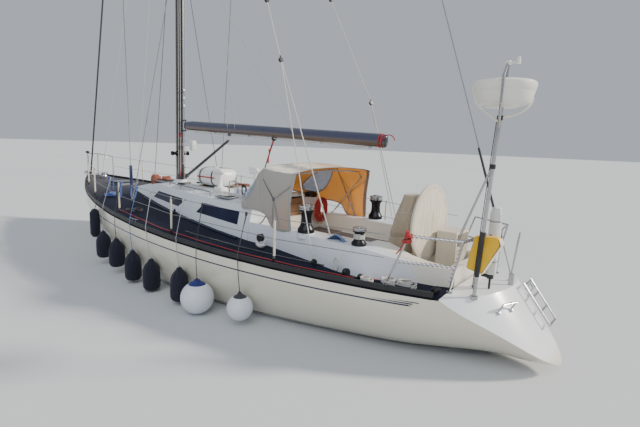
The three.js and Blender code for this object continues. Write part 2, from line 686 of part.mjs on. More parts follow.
// The boom and the strut below it are made about the gooseneck's pin
function makeBoom() {
  const shape = new THREE.Shape();
  shape.absellipse(0, 0, BOOM.deep / 2, BOOM.wide / 2, 0, 2 * Math.PI);
  const length = BOOM.pivotX - 90 - BOOM.aftX;
  const spar = new THREE.ExtrudeGeometry(shape, { depth: length, bevelEnabled: false, curveSegments: 10 });
  spar.rotateY(-Math.PI / 2);
  spar.translate(-90, 0, 0);
  const droop = (BOOM.pivotZ - BOOM.aftZ) / (BOOM.pivotX - BOOM.aftX);
  spar.applyMatrix4(new THREE.Matrix4().makeShear(0, droop, 0, 0, 0, 0));
  const eye = bar([0, 0, -60], [0, 0, 60], 30, 16);
  const neck = box(-130, -10, -16, 16, -40, 40);
  const lug = box(VANG.boomX - BOOM.pivotX - 40, VANG.boomX - BOOM.pivotX + 40, -12, 12, -210, -60);
  const bore = bar([0, 0, -200], [0, 0, 200], 12.5, 16);
  return union([spar, eye, neck, lug]).subtract(toSolid(bore));
}

function makeVang() {
  const drop = VANG.footZ - BOOM.pivotZ;
  const reach = VANG.boomX - BOOM.pivotX;
  const topZ = boomAt(VANG.boomX) - BOOM.pivotZ - 230;
  const strut = bar([-50, 0, drop + 15], [reach + 20, 0, topZ], 34, 14, 26);
  const eye = bar([0, 0, drop - 30], [0, 0, drop + 30], 30, 16);
  const neck = box(-90, -10, -14, 14, drop - 20, drop + 30);
  const bore = bar([0, 0, drop - 200], [0, 0, drop + 200], 12.5, 16);
  return union([strut, eye, neck]).subtract(toSolid(bore));
}

const SHROUD = 8;

// A side's cap shroud over the spreaders' tips, and its lower shroud, from the chainplate to the mast
function shroudLines(sign) {
  const { x } = CHAINPLATE;
  const y = sign * CHAINPLATE.y;
  const z = seatHeight(x, y, 60) + 100;
  const tips = SPREADERS.map((s) => [mastX(s.height) - s.sweep, sign * (s.half - 2), s.height + 40]);
  const head = [mastX(MAST.top), sign * (MAST.wide / 2 - 14), MAST.top - 70];
  const low = SPREADERS[0].height - 60;
  return [[[x, y, z], ...tips, head], [[x - 30, y, z], [mastX(low), sign * (MAST.wide / 2 - 14), low]]];
}

function makeShrouds(sign) {
  const { x } = CHAINPLATE;
  const y = sign * CHAINPLATE.y;
  const z = seatHeight(x, y, 60);
  const plate = box(x - 60, x + 40, y - 12, y + 12, z, z + 160);
  return union([...shroudLines(sign).map((line) => rail(line, SHROUD, 8)), plate]);
}

// The last stretch of the same lines, fatter and longer, to cut the seats that hold them at the mast
function shroudSeats(sign) {
  return union(
    shroudLines(sign).map((line) => {
      const end = new THREE.Vector3(...line[line.length - 1]);
      const run = end.clone().sub(new THREE.Vector3(...line[line.length - 2])).normalize();
      const longer = end.clone().addScaledVector(run, 1);
      return rail([...line.slice(0, -1), longer.toArray()], SHROUD + 0.4, 8);
    }),
  );
}

// Rails round the deck
const STANCHIONS = [2260, 4560, 6680, 8700, 10200];
const LIFELINE_ENDS = [700, ...STANCHIONS, 11150];
const LIFELINES = [0.52, 0.97];
const WIRE = 5;
const STANCHION_HEIGHT = 640;
const RAIL_TUBE = 13;
const FLANGE = 30;

// The rails stand well inside the deck's edge amidships, and close to it at the bow
const RAIL_INSET = { amidships: 190, from: 6680, bow: 90, to: 11150 };

function deckEdge(x, lift) {
  const { amidships, from, bow, to } = RAIL_INSET;
  const t = Math.min(1, Math.max(0, (x - from) / (to - from)));
  const y = stationAt(x).beam - amidships + (amidships - bow) * t;
  return [x, y, seatHeight(x, y, 22) + lift];
}

function makeLifelines(sign) {
  const mirror = ([x, y, z]) => [x, y * sign, z];
  const feet = STANCHIONS.map((x) => deckEdge(x, 0));
  const posts = feet.flatMap(([x, y, z]) => [
    bar(mirror([x, y, z]), mirror([x, y, z + STANCHION_HEIGHT]), RAIL_TUBE, 10),
    bar(mirror([x, y, z]), mirror([x, y, z + 60]), 22, 10),
  ]);
  const wires = LIFELINES.map((share) =>
    rail(
      LIFELINE_ENDS.map((x) => mirror(deckEdge(x, STANCHION_HEIGHT * share))),
      WIRE,
      6,
    ),
  );
  return union([...posts, ...wires]);
}

function makePulpit() {
  const foot = (x, inset) => {
    const y = stationAt(x).beam - inset;
    return [x, y, deckHeight(x, y) + TEAK + GAP + 3];
  };
  const pads = ([x, y, z]) => [y, -y].map((side) => bar([x, side, z - 12], [x, side, z + 12], FLANGE, 10));
  const lift = ([x, y, z], h) => [x, y, z + h];
  const star = ([x, y, z]) => [x, -y, z];
  const aft = foot(11200, 90);
  const fore = foot(11750, 45);
  const nose = [12120, 0, stationAt(STEM_X).sheer + 640];
  const top = [lift(aft, 620), [11750, 150, fore[2] + 640], nose, [11750, -150, fore[2] + 640], star(lift(aft, 620))];
  const pieces = [
    rail(top, RAIL_TUBE, 8),
    bar(aft, lift(aft, 620), RAIL_TUBE, 8),
    bar(star(aft), star(lift(aft, 620)), RAIL_TUBE, 8),
    bar(fore, [11750, 150, fore[2] + 640], RAIL_TUBE, 8),
    bar(star(fore), [11750, -150, fore[2] + 640], RAIL_TUBE, 8),
    ...pads(aft),
    ...pads(fore),
  ];
  return seated(union(pieces), underTeak());
}

function flange(x, y) {
  const z = seatHeight(x, y, FLANGE);
  return bar([x, y, z], [x, y, z + 14], FLANGE, 10);
}

// Each quarter's stern rail: the legs' feet, and the heads that they reach on the top rail
const PUSHPIT = [
  { foot: [640, 1140], head: [400, 1060, 1600] },
  { foot: [-40, 800], head: [-160, 820, 1590] },
  { foot: [-190, 410], head: [-210, 410, 1585] },
];

function makePushpit(sign) {
  const top = PUSHPIT.map(({ head }) => [head[0], head[1] * sign, head[2]]);
  const middle = PUSHPIT.slice(0, 2).map(({ foot, head }) => [
    (foot[0] + head[0]) / 2,
    ((foot[1] + head[1]) / 2) * sign,
    (seatHeight(foot[0], foot[1], FLANGE) + head[2]) / 2,
  ]);
  const pieces = [rail(top, RAIL_TUBE, 8), rail(middle, RAIL_TUBE - 2, 8)];
  PUSHPIT.forEach(({ foot, head }) => {
    const [x, y] = [foot[0], foot[1] * sign];
    pieces.push(flange(x, y));
    pieces.push(bar([x, y, seatHeight(x, y, FLANGE) + 10], [head[0], head[1] * sign, head[2] + 4], RAIL_TUBE, 8));
  });
  return union(pieces);
}

// Stern gear
const POLE = { x: -314, y: 740, foot: 960, top: 3570, lean: -115, radius: 22 };
const DOME = { radius: 325, high: 250, z: 3110 };

function poleAt(z) {
  const t = (z - POLE.foot) / (POLE.top - POLE.foot);
  return [POLE.x + POLE.lean * t, POLE.y, z];
}

function makePole(hull) {
  const strut = bar([-60, POLE.y, 1560], poleAt(2480), 14, 10);
  const shelf = box(
    poleAt(DOME.z)[0] - 120,
    poleAt(DOME.z)[0] + 120,
    POLE.y - 120,
    POLE.y + 120,
    DOME.z - 20,
    DOME.z - GAP,
  );
  const foot = seatHeight(POLE.x, POLE.y, 45);
  const base = bar([POLE.x, POLE.y, foot - 20], [POLE.x, POLE.y, foot + 16], 45, 12);
  return seated(union([bar(poleAt(foot + 8), poleAt(POLE.top), POLE.radius, 14), base, strut, shelf]), hull);
}

function makeDome() {
  const profile = [
    [0, 0],
    [DOME.radius * 0.8, 0],
    [DOME.radius * 0.97, DOME.high * 0.2],
    [DOME.radius, DOME.high * 0.5],
    [DOME.radius * 0.93, DOME.high * 0.8],
    [DOME.radius * 0.7, DOME.high * 0.97],
    [0, DOME.high],
  ];
  const [x, y] = poleAt(DOME.z);
  const hole = bar(poleAt(2900), poleAt(3560), boreRadius(POLE.radius, 14), 14);
  return toSolid(turned(profile, [x, y, DOME.z], 24)).subtract(toSolid(hole));
}

// Two lugs on the transom that the ladder's lowest rung turns in
function ladderLugs(transom) {
  const bore = bar(
    [LADDER.x, LADDER.y - 130, LADDER.z],
    [LADDER.x, LADDER.y + 130, LADDER.z],
    boreRadius(LADDER.tube, 12),
    12,
  );
  const lugs = [-100, 100].map((offset) => {
    const y = LADDER.y + offset;
    return toSolid(box(LADDER.x - 24, LADDER.x + 190, y - 6, y + 6, LADDER.z - 24, LADDER.z + 24)).subtract(toSolid(bore));
  });
  return lugs.reduce((sum, lug) => sum.add(lug), transom);
}

function makeLadder() {
  const along = new THREE.Vector2(TRANSOM.topX - TRANSOM.footX, TRANSOM.topZ - TRANSOM.footZ).normalize();
  const at = (s) => [along.x * s, along.y * s];
  const rails = [-150, 150].map((y) => {
    const [x, z] = at(LADDER.long);
    return bar([0, y, 0], [x, y, z], LADDER.tube, 8);
  });
  const steps = [0, 0.33, 0.66, 0.96].map((share) => {
    const s = share * LADDER.long;
    const [x, z] = at(s);
    return bar([x, -150, z], [x, 150, z], LADDER.tube, 8);
  });
  return union([...rails, ...steps]);
}

const LADDER = { x: -974, y: -260, z: 540, tube: 14, long: 570 };

// Fenders: x, the height of the body's middle, its radius, its half length
const FENDERS = [
  { name: "fender_1", x: 7000, z: 405, radius: 145, half: 265, round: false },
  { name: "fender_2", x: 6180, z: 405, radius: 145, half: 265, round: false },
  { name: "fender_3", x: 5465, z: 312, radius: 145, half: 265, round: false },
  { name: "fender_4", x: 4820, z: 285, radius: 145, half: 265, round: false },
  { name: "fender_5", x: 3960, z: 320, radius: 145, half: 265, round: false },
  { name: "fender_6", x: 3420, z: 262, radius: 250, half: 250, round: true },
  { name: "fender_7", x: 2640, z: 270, radius: 190, half: 190, round: true },
];

function hullSideAt(x, z) {
  const s = stationAt(x);
  const down = Math.min(1, (s.sheer - z) / (s.sheer - s.keel));
  return s.beam * (1 - down ** s.full) ** (1 / s.full);
}

// Point of a side's lifeline above a place on the deck, and the run of the wire there
function wireAt(x, share) {
  const ends = LIFELINE_ENDS.map((end) => deckEdge(end, STANCHION_HEIGHT * share));
  const i = LIFELINE_ENDS.findIndex((end) => end > x);
  const [a, b] = [ends[i - 1], ends[i]];
  const t = (x - a[0]) / (b[0] - a[0]);
  const run = new THREE.Vector3(...b).sub(new THREE.Vector3(...a)).normalize();
  return { at: a.map((v, k) => v + (b[k] - v) * t), run };
}

function makeFender(f) {
  const s = stationAt(f.x);
  const side = hullSideAt(f.x, Math.min(f.z + f.half * 0.5, s.sheer)) + f.radius + 6;
  const reach = Math.max(side, s.beam + 40);
  const { at, run } = wireAt(f.x, LIFELINES[1]);
  const body = new THREE.SphereGeometry(f.radius, 12, 8);
  if (!f.round) body.scale(1, 1, f.half / f.radius);
  body.translate(f.x, reach, f.z);
  const neck = bar([f.x, reach, f.z + f.half - 30], [f.x, reach, f.z + f.half + 70], 45, 8, 22);
  const overRail = [f.x, s.beam + 22, s.sheer + TEAK + TOE_RAIL.high];
  const rope = rail([[f.x, reach, f.z + f.half], overRail, [at[0], at[1] + 12, at[2]]], 6, 6);
  const knot = new THREE.SphereGeometry(18, 8, 6).translate(at[0], at[1] + 4, at[2]);
  const ends = [-40, 40].map((way) => run.clone().multiplyScalar(way).add(new THREE.Vector3(...at)).toArray());
  const bore = bar(ends[0], ends[1], boreRadius(WIRE, 8), 8);
  return union([body, neck, rope, knot]).subtract(toSolid(bore));
}

// Stays on the centreline, from the foot on deck to the mast
const STAYS = [
  { name: "forestay", foot: [11930, seatHeight(11820, 0, 30)], head: 20900, side: 1, radius: 22 },
  { name: "babystay", foot: [8140, 1507.5], head: 9400, side: 1, radius: 6 },
  { name: "backstay", foot: [-500, seatHeight(-500, 0, 30)], head: 21060, side: -1, radius: 8 },
];

function makeCentreStay(s, mast) {
  const [x, z] = s.foot;
  const plate = box(x - 30, x + 30, -8, 8, z, z + 150);
  const stay = union([bar([x, 0, z + 100], [mastX(s.head), 0, s.head], s.radius, 8), plate]);
  return stay.subtract(mast.translate([s.side * GAP, 0, 0]));
}

// Companionway
function makeSlide() {
  const lid = box(SLIDE.aftX, SLIDE.foreX, -SLIDE.half, SLIDE.half, SLIDE.z, SLIDE.z + SLIDE.thick);
  const grip = box(SLIDE.aftX, SLIDE.aftX + 24, -160, 160, SLIDE.z + 20, SLIDE.z + 60);
  return union([lid, grip]);
}

function makeWashboard() {
  const { half, sill, board } = COMPANION;
  return box(3352, 3352 + board, GAP - half, half - GAP, sill + GAP, SLIDE.z - 30);
}

// Hatch on the foredeck: a low frame, and a lid that turns on a pin at its forward edge
const FORE_HATCH = { x: 9850, half: 270, frameHigh: 30, lidHigh: 28, pin: 5, axisX: 12, axisZ: 44 };

function foreHatchBase() {
  return seatHeight(FORE_HATCH.x, 0, FORE_HATCH.half + 24);
}

function foreHatchAxis() {
  return [FORE_HATCH.x + FORE_HATCH.half + FORE_HATCH.axisX, 0, foreHatchBase() + FORE_HATCH.axisZ];
}

function makeForeHatchFrame() {
  const { x, half, frameHigh, pin, axisX } = FORE_HATCH;
  const z = foreHatchBase();
  const [pinX, , pinZ] = foreHatchAxis();
  const lugs = [-70, 70].map((y) => box(x + half - 4, pinX + axisX, y - 6, y + 6, z - 10, pinZ + 7));
  const rod = bar([pinX, -70, pinZ], [pinX, 70, pinZ], pin, 12);
  const frame = union([box(x - half, x + half, -half, half, z - 40, z + frameHigh), ...lugs, rod]);
  const light = box(x - half + 40, x + half - 40, -half + 40, half - 40, z - 50, z + 60);
  return seated(frame.subtract(toSolid(light)), underTeak());
}

// The lid is made about its pin
function makeForeHatch() {
  const { half, frameHigh, lidHigh, pin, axisX, axisZ } = FORE_HATCH;
  const low = frameHigh + 5 - axisZ;
  const plate = box(-2 * half - axisX + 6, -axisX - 6, -half, half, low, low + lidHigh);
  const knuckle = bar([0, -58, 0], [0, 58, 0], 11, 12);
  const arm = box(-axisX - 20, -4, -50, 50, -4, 8);
  const bore = bar([0, -80, 0], [0, 80, 0], boreRadius(pin, 12), 12);
  return union([plate, knuckle, arm]).subtract(toSolid(bore));
}

// Seat lockers: a lid let into each seat, hinged on its outboard edge
const LOCKER = { aftX: 1500, foreX: 2700, inY: 390, outY: 700, thick: 24, clear: 6, axisY: 682, pin: 5, pinLong: 20 };

function makeLocker(sign) {
  const { aftX, foreX, inY, thick, clear, axisY, pin, pinLong } = LOCKER;
  const half = thick / 2;
  const across = [sign * (inY + clear - axisY), sign * clear].sort((low, high) => low - high);
  const lid = toSolid(box(aftX + clear, foreX - clear, ...across, -half, half));
  const bores = [aftX, foreX].map((x) =>
    toSolid(bar([x - pinLong - 2, 0, 0], [x + pinLong + 2, 0, 0], boreRadius(pin, 12), 12)),
  );
  return lid.subtract(bores[0]).subtract(bores[1]);
}

function makeHelmBox() {
  return box(270, 560, -490, -60, COCKPIT.soleZ + 100 + GAP, 1500);
}

// Deck gear
const RAFT = { x: 5555, long: 850, wide: 600, high: 400, cradle: 40, foot: 1656 };

function makeRaft(roof) {
  const z = RAFT.foot;
  const shape = new THREE.Shape();
  const [w, h, r] = [RAFT.wide / 2, RAFT.high - RAFT.cradle, 130];
  shape.moveTo(-w + r, 0);
  shape.lineTo(w - r, 0);
  shape.absarc(w - r, r, r, -Math.PI / 2, 0);
  shape.lineTo(w, h - r);
  shape.absarc(w - r, h - r, r, 0, Math.PI / 2);
  shape.lineTo(-w + r, h);
  shape.absarc(-w + r, h - r, r, Math.PI / 2, Math.PI);
  shape.lineTo(-w, r);
  shape.absarc(-w + r, r, r, Math.PI, 1.5 * Math.PI);
  const bevel = 30;
  const body = new THREE.ExtrudeGeometry(shape, {
    depth: RAFT.long - 2 * bevel,
    bevelThickness: bevel,
    bevelSize: 0,
    bevelSegments: 1,
    curveSegments: 4,
  });
  body.rotateX(Math.PI / 2).rotateZ(Math.PI / 2);
  body.translate(RAFT.x - RAFT.long / 2 + bevel, 0, z + RAFT.cradle);
  const feet = [-250, 250].map((dx) => box(RAFT.x + dx - 25, RAFT.x + dx + 25, -220, 220, z - 60, z + RAFT.cradle + 30));
  return seated(union([body, ...feet]), roof);
}

const VENT = { x: 4850, y: 450, foot: 1634, box: 110, stem: 1960, mouth: 84 };

function makeVent(roof, sign) {
  const y = VENT.y * sign;
  const dorade = box(VENT.x - 150, VENT.x + 110, y - 100, y + 100, VENT.foot - 60, VENT.foot + VENT.box);
  const stem = bar([VENT.x, y, VENT.foot + 50], [VENT.x, y, VENT.stem + 60], 46, 12, 54);
  const bell = bar([VENT.x - 70, y, VENT.stem + 60], [VENT.x + 120, y, VENT.stem + 95], 60, 12, VENT.mouth);
  const dome = new THREE.SphereGeometry(62, 12, 6).translate(VENT.x - 50, y, VENT.stem + 62);
  const throat = bar([VENT.x + 20, y, VENT.stem + 77], [VENT.x + 140, y, VENT.stem + 99], 44, 12, VENT.mouth - 12);
  const body = union([dorade, stem, bell, dome]).subtract(toSolid(throat));
  return seated(body, roof);
}

// Spray hood: rows of half sections from the side's foot to the middle, as [y, z]
const HOOD_CLOTH = [
  { x: 2430, half: [[985, 1330.3], [1000, 1700], [985, 2085], [900, 2205], [500, 2245], [0, 2260]] },
  { x: 3050, half: [[985, 1330.3], [990, 1750], [975, 2120], [890, 2240], [500, 2280], [0, 2295]] },
  { x: 3600, half: [[965, 1600], [950, 1750], [905, 1900], [820, 2000], [480, 2060], [0, 2080]] },
  { x: 4020, half: [[905, 1540], [885, 1560], [820, 1600], [700, 1650], [460, 1725], [0, 1750]] },
];
const CLOTH = 12;

function makeCanopy(roof) {
  const grid = (inset) =>
    HOOD_CLOTH.map((row) => {
      const port = row.half.map(([y, z], j) => [
        row.x,
        Math.max(0, y - (j < 4 ? inset : 0)),
        z - (j > 1 ? inset : 0),
      ]);
      const starboard = port.slice(0, -1).map(([x, y, z]) => [x, -y, z]);
      return [...port, ...starboard.reverse()];
    });
  return seated(toSolid(skin(grid(0), grid(CLOTH))), roof);
}

function makeBows() {
  const bow = (footX, topX, top) => {
    const half = [
      [footX, 930, COCKPIT.coamingTop + 12],
      [topX, 930, top - 150],
      [topX, 850, top - 45],
      [topX, 0, top],
    ];
    const other = half.slice(0, -1).map(([x, y, z]) => [x, -y, z]).reverse();
    return rail([...half, ...other], 13, 8);
  };
  const feet = [3120, 2600].flatMap((x) =>
    [930, -930].map((y) => box(x - 30, x + 30, y - 25, y + 25, COCKPIT.coamingTop + GAP, COCKPIT.coamingTop + 16)),
  );
  return union([bow(3120, 2500, 2210), bow(2600, 3010, 2240), ...feet]);
}

// Rescue gear and the ensign's staff at the stern
const BAG = { innerY: 570, high: 1680, low: 1215 };

// A rescue sling in its bag, wider at the top, hung on the inner side of the radar pole
function makeBag() {
  const corners = [
    [-237, BAG.high - 20],
    [-500, BAG.high],
    [-530, BAG.high - 90],
    [-350, BAG.low],
    [-170, BAG.low + 45],
  ];
  const outerY = POLE.y - POLE.radius - GAP;
  return loft([
    corners.map(([x, z]) => [x, BAG.innerY, z]),
    corners.map(([x, z]) => [x, outerY, z]),
  ]);
}

const DAN = { x: -350, y: 350, radius: 60, low: 1180, high: 1960, top: 2010 };

function makeDanbuoy() {
  const foot = seatHeight(DAN.x, DAN.y, 20);
  const profile = [
    [0, foot],
    [14, foot],
    [14, DAN.low - 60],
    [DAN.radius, DAN.low],
    [DAN.radius, DAN.high - 120],
    [16, DAN.high],
    [12, DAN.top],
    [0, DAN.top],
  ];
  return turned(profile, [DAN.x, DAN.y, 0], 12);
}

const STAFF = { x: -440, y: -170, top: 1620 };

function makeStaff() {
  const z = seatHeight(STAFF.x, STAFF.y, FLANGE);
  return union([flange(STAFF.x, STAFF.y), bar([STAFF.x, STAFF.y, z + 5], [STAFF.x - 60, STAFF.y, STAFF.top], 12, 10)]);
}

// Stemhead: a plate on the stem with two cheeks and the anchor's roller between them
function makeStemhead() {
  const z = crown(stationAt(STEM_X), 0) + GAP;
  const plate = box(11990, 12290, -45, 45, z, z + 8);
  const cheeks = [-1, 1].map((sign) => box(12080, 12320, sign * 45 - 4, sign * 45 + 4, z, z + 75));
  const roller = bar([12270, -50, z + 40], [12270, 50, z + 40], 26, 12);
  return union([plate, ...cheeks, roller]);
}

// Hull, appendages and drive
const hull = makeHull();
add("hull", hull, material("gelcoat", 0.25));
add("keel", makeKeel(hull), material("antifoul", 0.7));
add("rudder", makeRudder(), material("antifoul", 0.7));
add("saildrive_leg", makeLeg(), material("alloy", 0.5, 0.6));
add("propeller", makePropeller(), material("bronze", 0.35, 0.9), [LEG.propX - 70, 0, LEG.propZ]);

// Deck and superstructure
add("teak_deck", makeTeakDeck(), material("teak", 0.8));
add("toe_rail_port", makeToeRail(1), material("black", 0.6));
add("toe_rail_starboard", makeToeRail(-1), material("black", 0.6));
const roof = makeCoachroof();
add("coachroof", roof, material("white", 0.3));
SIDE_WINDOWS.forEach((w) => {
  add(`window_${w.name}_port`, windowShape(w, 1), material("glass", 0.1));
  add(`window_${w.name}_starboard`, windowShape(w, -1), material("glass", 0.1));
});
add("cockpit_moulding", makeCockpit(hull), material("white", 0.4));
add("companion_slide", makeSlide(), material("white", 0.3));
add("washboard", makeWashboard(), material("teak", 0.6));
add("fore_hatch_frame", makeForeHatchFrame(), material("alloy", 0.4, 0.7));
add("fore_hatch", makeForeHatch(), material("glass", 0.2), foreHatchAxis());
const lockerZ = COCKPIT.seatZ - LOCKER.thick / 2;
add("locker_port", makeLocker(1), material("seat", 0.8), [0, LOCKER.axisY, lockerZ]);
add("locker_starboard", makeLocker(-1), material("seat", 0.8), [0, -LOCKER.axisY, lockerZ]);
add("helm_box", makeHelmBox(), material("white", 0.5));
add("liferaft", makeRaft(roof), material("white", 0.5));
add("cowl_vent_port", makeVent(roof, 1), material("white", 0.4));
add("cowl_vent_starboard", makeVent(roof, -1), material("white", 0.4));
add("dodger_canopy", makeCanopy(roof), material("canvas", 0.9));
add("dodger_frame", makeBows(), material("steel", 0.25, 0.9));
add("binnacle", makeBinnacle(), material("canvas", 0.8));
add("steering_wheel", makeWheel(), material("steel", 0.3, 0.8), [WHEEL.x, 0, WHEEL.z]);
WINCHES.forEach((w) => add(w.name, winchDrum(w), material("black", 0.3, 0.6), [w.x, w.y, w.z]));

// Rig
const mast = makeMast(roof);
add("mast", mast, material("black", 0.35, 0.2));
add("boom", makeBoom(), material("navy", 0.4), [BOOM.pivotX, 0, BOOM.pivotZ]);
add("vang", makeVang(), material("black", 0.4), [BOOM.pivotX, 0, BOOM.pivotZ]);
add("shrouds_port", makeShrouds(1), material("steel", 0.3, 0.8));
add("shrouds_starboard", makeShrouds(-1), material("steel", 0.3, 0.8));

STAYS.forEach((stay) => add(stay.name, makeCentreStay(stay, mast), material("steel", 0.3, 0.8)));

// Rails
add("lifelines_port", makeLifelines(1), material("steel", 0.25, 0.9));
add("lifelines_starboard", makeLifelines(-1), material("steel", 0.25, 0.9));
add("pulpit", makePulpit(), material("steel", 0.25, 0.9));
add("pushpit_port", makePushpit(1), material("steel", 0.25, 0.9));
add("pushpit_starboard", makePushpit(-1), material("steel", 0.25, 0.9));

// Stern gear
add("radar_pole", makePole(hull), material("steel", 0.25, 0.9));
add("radar_dome", makeDome(), material("white", 0.4));
add("swim_ladder", makeLadder(), material("steel", 0.25, 0.9), [LADDER.x, LADDER.y, LADDER.z]);

add("rescue_bag", makeBag(), material("yellow", 0.7));
add("danbuoy", makeDanbuoy(), material("white", 0.6));
add("ensign_staff", makeStaff(), material("steel", 0.3, 0.8));
add("stemhead", makeStemhead(), material("steel", 0.3, 0.8));

// Fenders
FENDERS.forEach((f) => add(f.name, makeFender(f), material(f.round ? "white" : "navy", 0.5)));

export default group;
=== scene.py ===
"""A 13 m sloop afloat: smooth skins, cloth, rigging and finishes round its frame.

Metres, in the frame's own axes: +X to the bow, +Y to port, +Z up, with the waterline at zero.
"""

import random
from math import atan2, copysign, cos, exp, hypot, pi, radians, sin, sqrt, tan

import bmesh
import bpy
from bpy.props import FloatProperty, FloatVectorProperty, PointerProperty
from mathutils import Matrix, Vector


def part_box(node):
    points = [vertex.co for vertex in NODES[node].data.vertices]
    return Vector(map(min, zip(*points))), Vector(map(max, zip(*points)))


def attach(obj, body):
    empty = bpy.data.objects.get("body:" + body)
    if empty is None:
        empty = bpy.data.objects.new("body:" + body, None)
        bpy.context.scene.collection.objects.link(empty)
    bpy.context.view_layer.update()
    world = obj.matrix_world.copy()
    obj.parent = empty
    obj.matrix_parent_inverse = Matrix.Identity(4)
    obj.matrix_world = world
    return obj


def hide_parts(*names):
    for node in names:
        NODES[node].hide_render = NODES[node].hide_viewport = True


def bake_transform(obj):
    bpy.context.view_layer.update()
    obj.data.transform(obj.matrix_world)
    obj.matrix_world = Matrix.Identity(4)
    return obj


bl_info = {
    "name": "Sailing yacht",
    "version": (1, 0, 0),
    "blender": (4, 5, 0),
    "location": "3D View > Sidebar > Yacht",
    "description": "Builds the looks of a sailing yacht round its frame",
    "category": "Add Mesh",
}

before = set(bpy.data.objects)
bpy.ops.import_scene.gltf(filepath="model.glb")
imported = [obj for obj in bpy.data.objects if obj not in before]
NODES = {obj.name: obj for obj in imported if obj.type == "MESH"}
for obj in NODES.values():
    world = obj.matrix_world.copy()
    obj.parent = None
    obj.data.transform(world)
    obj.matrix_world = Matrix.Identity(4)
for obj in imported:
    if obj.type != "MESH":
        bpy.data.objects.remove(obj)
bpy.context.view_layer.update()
LOOKS = {}
IMAGE = (640, 427)

# Hull stations: x, half beam at the sheer, height of the sheer, height of the keel line, fullness
STATIONS = [
    (-1.4, 0.482, 0.907, 0.25, 1.6),
    (-1, 0.7, 0.905, 0.1, 1.6),
    (-0.5, 0.89, 0.903, 0.08, 1.65),
    (0, 1.063, 0.903, 0.01, 1.85),
    (0.6, 1.258, 0.905, -0.095, 2),
    (1.4, 1.478, 0.913, -0.21, 2),
    (2.2, 1.645, 0.924, -0.33, 2.05),
    (3.2, 1.79, 0.944, -0.45, 2.15),
    (4.3, 1.87, 0.976, -0.55, 2.2),
    (5.5, 1.866, 1.02, -0.6, 2.2),
    (6.7, 1.765, 1.073, -0.59, 2.15),
    (7.9, 1.56, 1.137, -0.53, 2),
    (9, 1.284, 1.205, -0.44, 1.8),
    (10, 0.951, 1.274, -0.34, 1.6),
    (10.8, 0.625, 1.335, -0.24, 1.45),
    (11.4, 0.345, 1.383, -0.12, 1.35),
    (11.74, 0.178, 1.412, 0.02, 1.3),
    (11.9, 0.1, 1.425, 0.46, 1.3),
    (12, 0.056, 1.433, 0.8, 1.3),
    (12.06, 0.026, 1.439, 1.15, 1.3),
]
TEAK = 0.025
CROWN = 0.05
DECK_END = -0.03
TRANSOM = {"x": -0.55, "z": 0.95, "radius": 1.5, "lean": atan2(0.516, 0.67)}
COACHROOF = [
    (3.345, 1.05),
    (4.2, 1),
    (5.2, 0.89),
    (6.2, 0.74),
    (6.975, 0.59),
    (7.8, 0.4),
    (8.5, 0.235),
    (9.2, 0.06),
]
STANCHIONS = [2.26, 4.56, 6.68, 8.7, 10.2]
LIFELINE_ENDS = [0.7, *STANCHIONS, 11.15]
RAIL_INSET = {"amidships": 0.19, "from": 6.68, "bow": 0.09, "to": 11.15}
MAST = {"x": 6.975, "foot": 1.62, "top": 21.14, "lean": tan(radians(1.25))}
BOOM = {"x": 6.73, "z": 2.93, "aft": 1.45, "aft_z": 2.71}
POLE = {"x": -0.314, "y": 0.74, "foot": 0.96, "top": 3.57, "lean": -0.115}
WHEEL = (0.65, 0, 1.6)


def xyz(x, y, z):
    return Vector((x, y, z))


# Measures of the hull


def spline(table, x, column):
    """A smooth value between the rows of a table whose first column is x."""
    i = max(1, next((n for n, row in enumerate(table) if x <= row[0]), len(table) - 1))
    i = min(i, len(table) - 1)
    a, b = table[i - 1], table[i]
    before, after = table[max(0, i - 2)], table[min(len(table) - 1, i + 1)]
    width = b[0] - a[0]
    t = (x - a[0]) / width
    start = (b[column] - before[column]) / (b[0] - before[0]) * width
    end = (after[column] - a[column]) / (after[0] - a[0]) * width
    t2, t3 = t * t, t * t * t
    return (
        (2 * t3 - 3 * t2 + 1) * a[column] + (t3 - 2 * t2 + t) * start + (3 * t2 - 2 * t3) * b[column]
        + (t3 - t2) * end
    )


def chord(table, x, column):
    """A value between the rows of a table, on a straight line from row to row."""
    for a, b in zip(table, table[1:]):
        if x <= b[0]:
            break
    t = (x - a[0]) / (b[0] - a[0])
    return a[column] + (b[column] - a[column]) * t


def beam_at(x):
    return spline(STATIONS, x, 1)


def deck_at(x, y):
    """Height of the teak above the water."""
    beam = chord(STATIONS, x, 1)
    return chord(STATIONS, x, 2) + CROWN * beam * (1 - min(1, abs(y) / beam) ** 2) + TEAK


def after_deck_at(x, y):
    """Height of the deck behind the teak, which follows the smooth sheer."""
    beam = beam_at(x)
    return spline(STATIONS, x, 2) + TEAK + CROWN * beam * (1 - min(1, abs(y) / beam) ** 2)


def side_point(x, share):
    """Point of the port topsides, from the sheer at 0 to the keel line at 1."""
    beam, sheer, keel, full = (spline(STATIONS, x, column) for column in (1, 2, 3, 4))
    sheer += TEAK * min(1, max(0, (DECK_END - x) / 0.02))
    angle = share * pi / 2
    y = beam * max(0, cos(angle)) ** (2 / full)
    return xyz(x, y, sheer - (sheer - keel) * sin(angle) ** (2 / full))


def transom_x(y, z):
    """Where the leaning, curved transom lies at a height and a distance off the centreline."""
    radius, lean = TRANSOM["radius"], TRANSOM["lean"]
    bulge = radius - sqrt(radius**2 - y**2)
    return TRANSOM["x"] + (bulge + sin(lean) * (z - TRANSOM["z"])) / cos(lean)


def quarter_point(share):
    """Point of the edge between the port side and the transom."""
    x = -0.9
    for _ in range(40):
        point = side_point(x, share)
        x = transom_x(point.y, point.z)
    return side_point(x, share)


def mast_x(z):
    return MAST["x"] - (z - MAST["foot"]) * MAST["lean"]


def boom_z(x):
    return BOOM["z"] + (BOOM["aft_z"] - BOOM["z"]) * (BOOM["x"] - x) / (BOOM["x"] - BOOM["aft"])


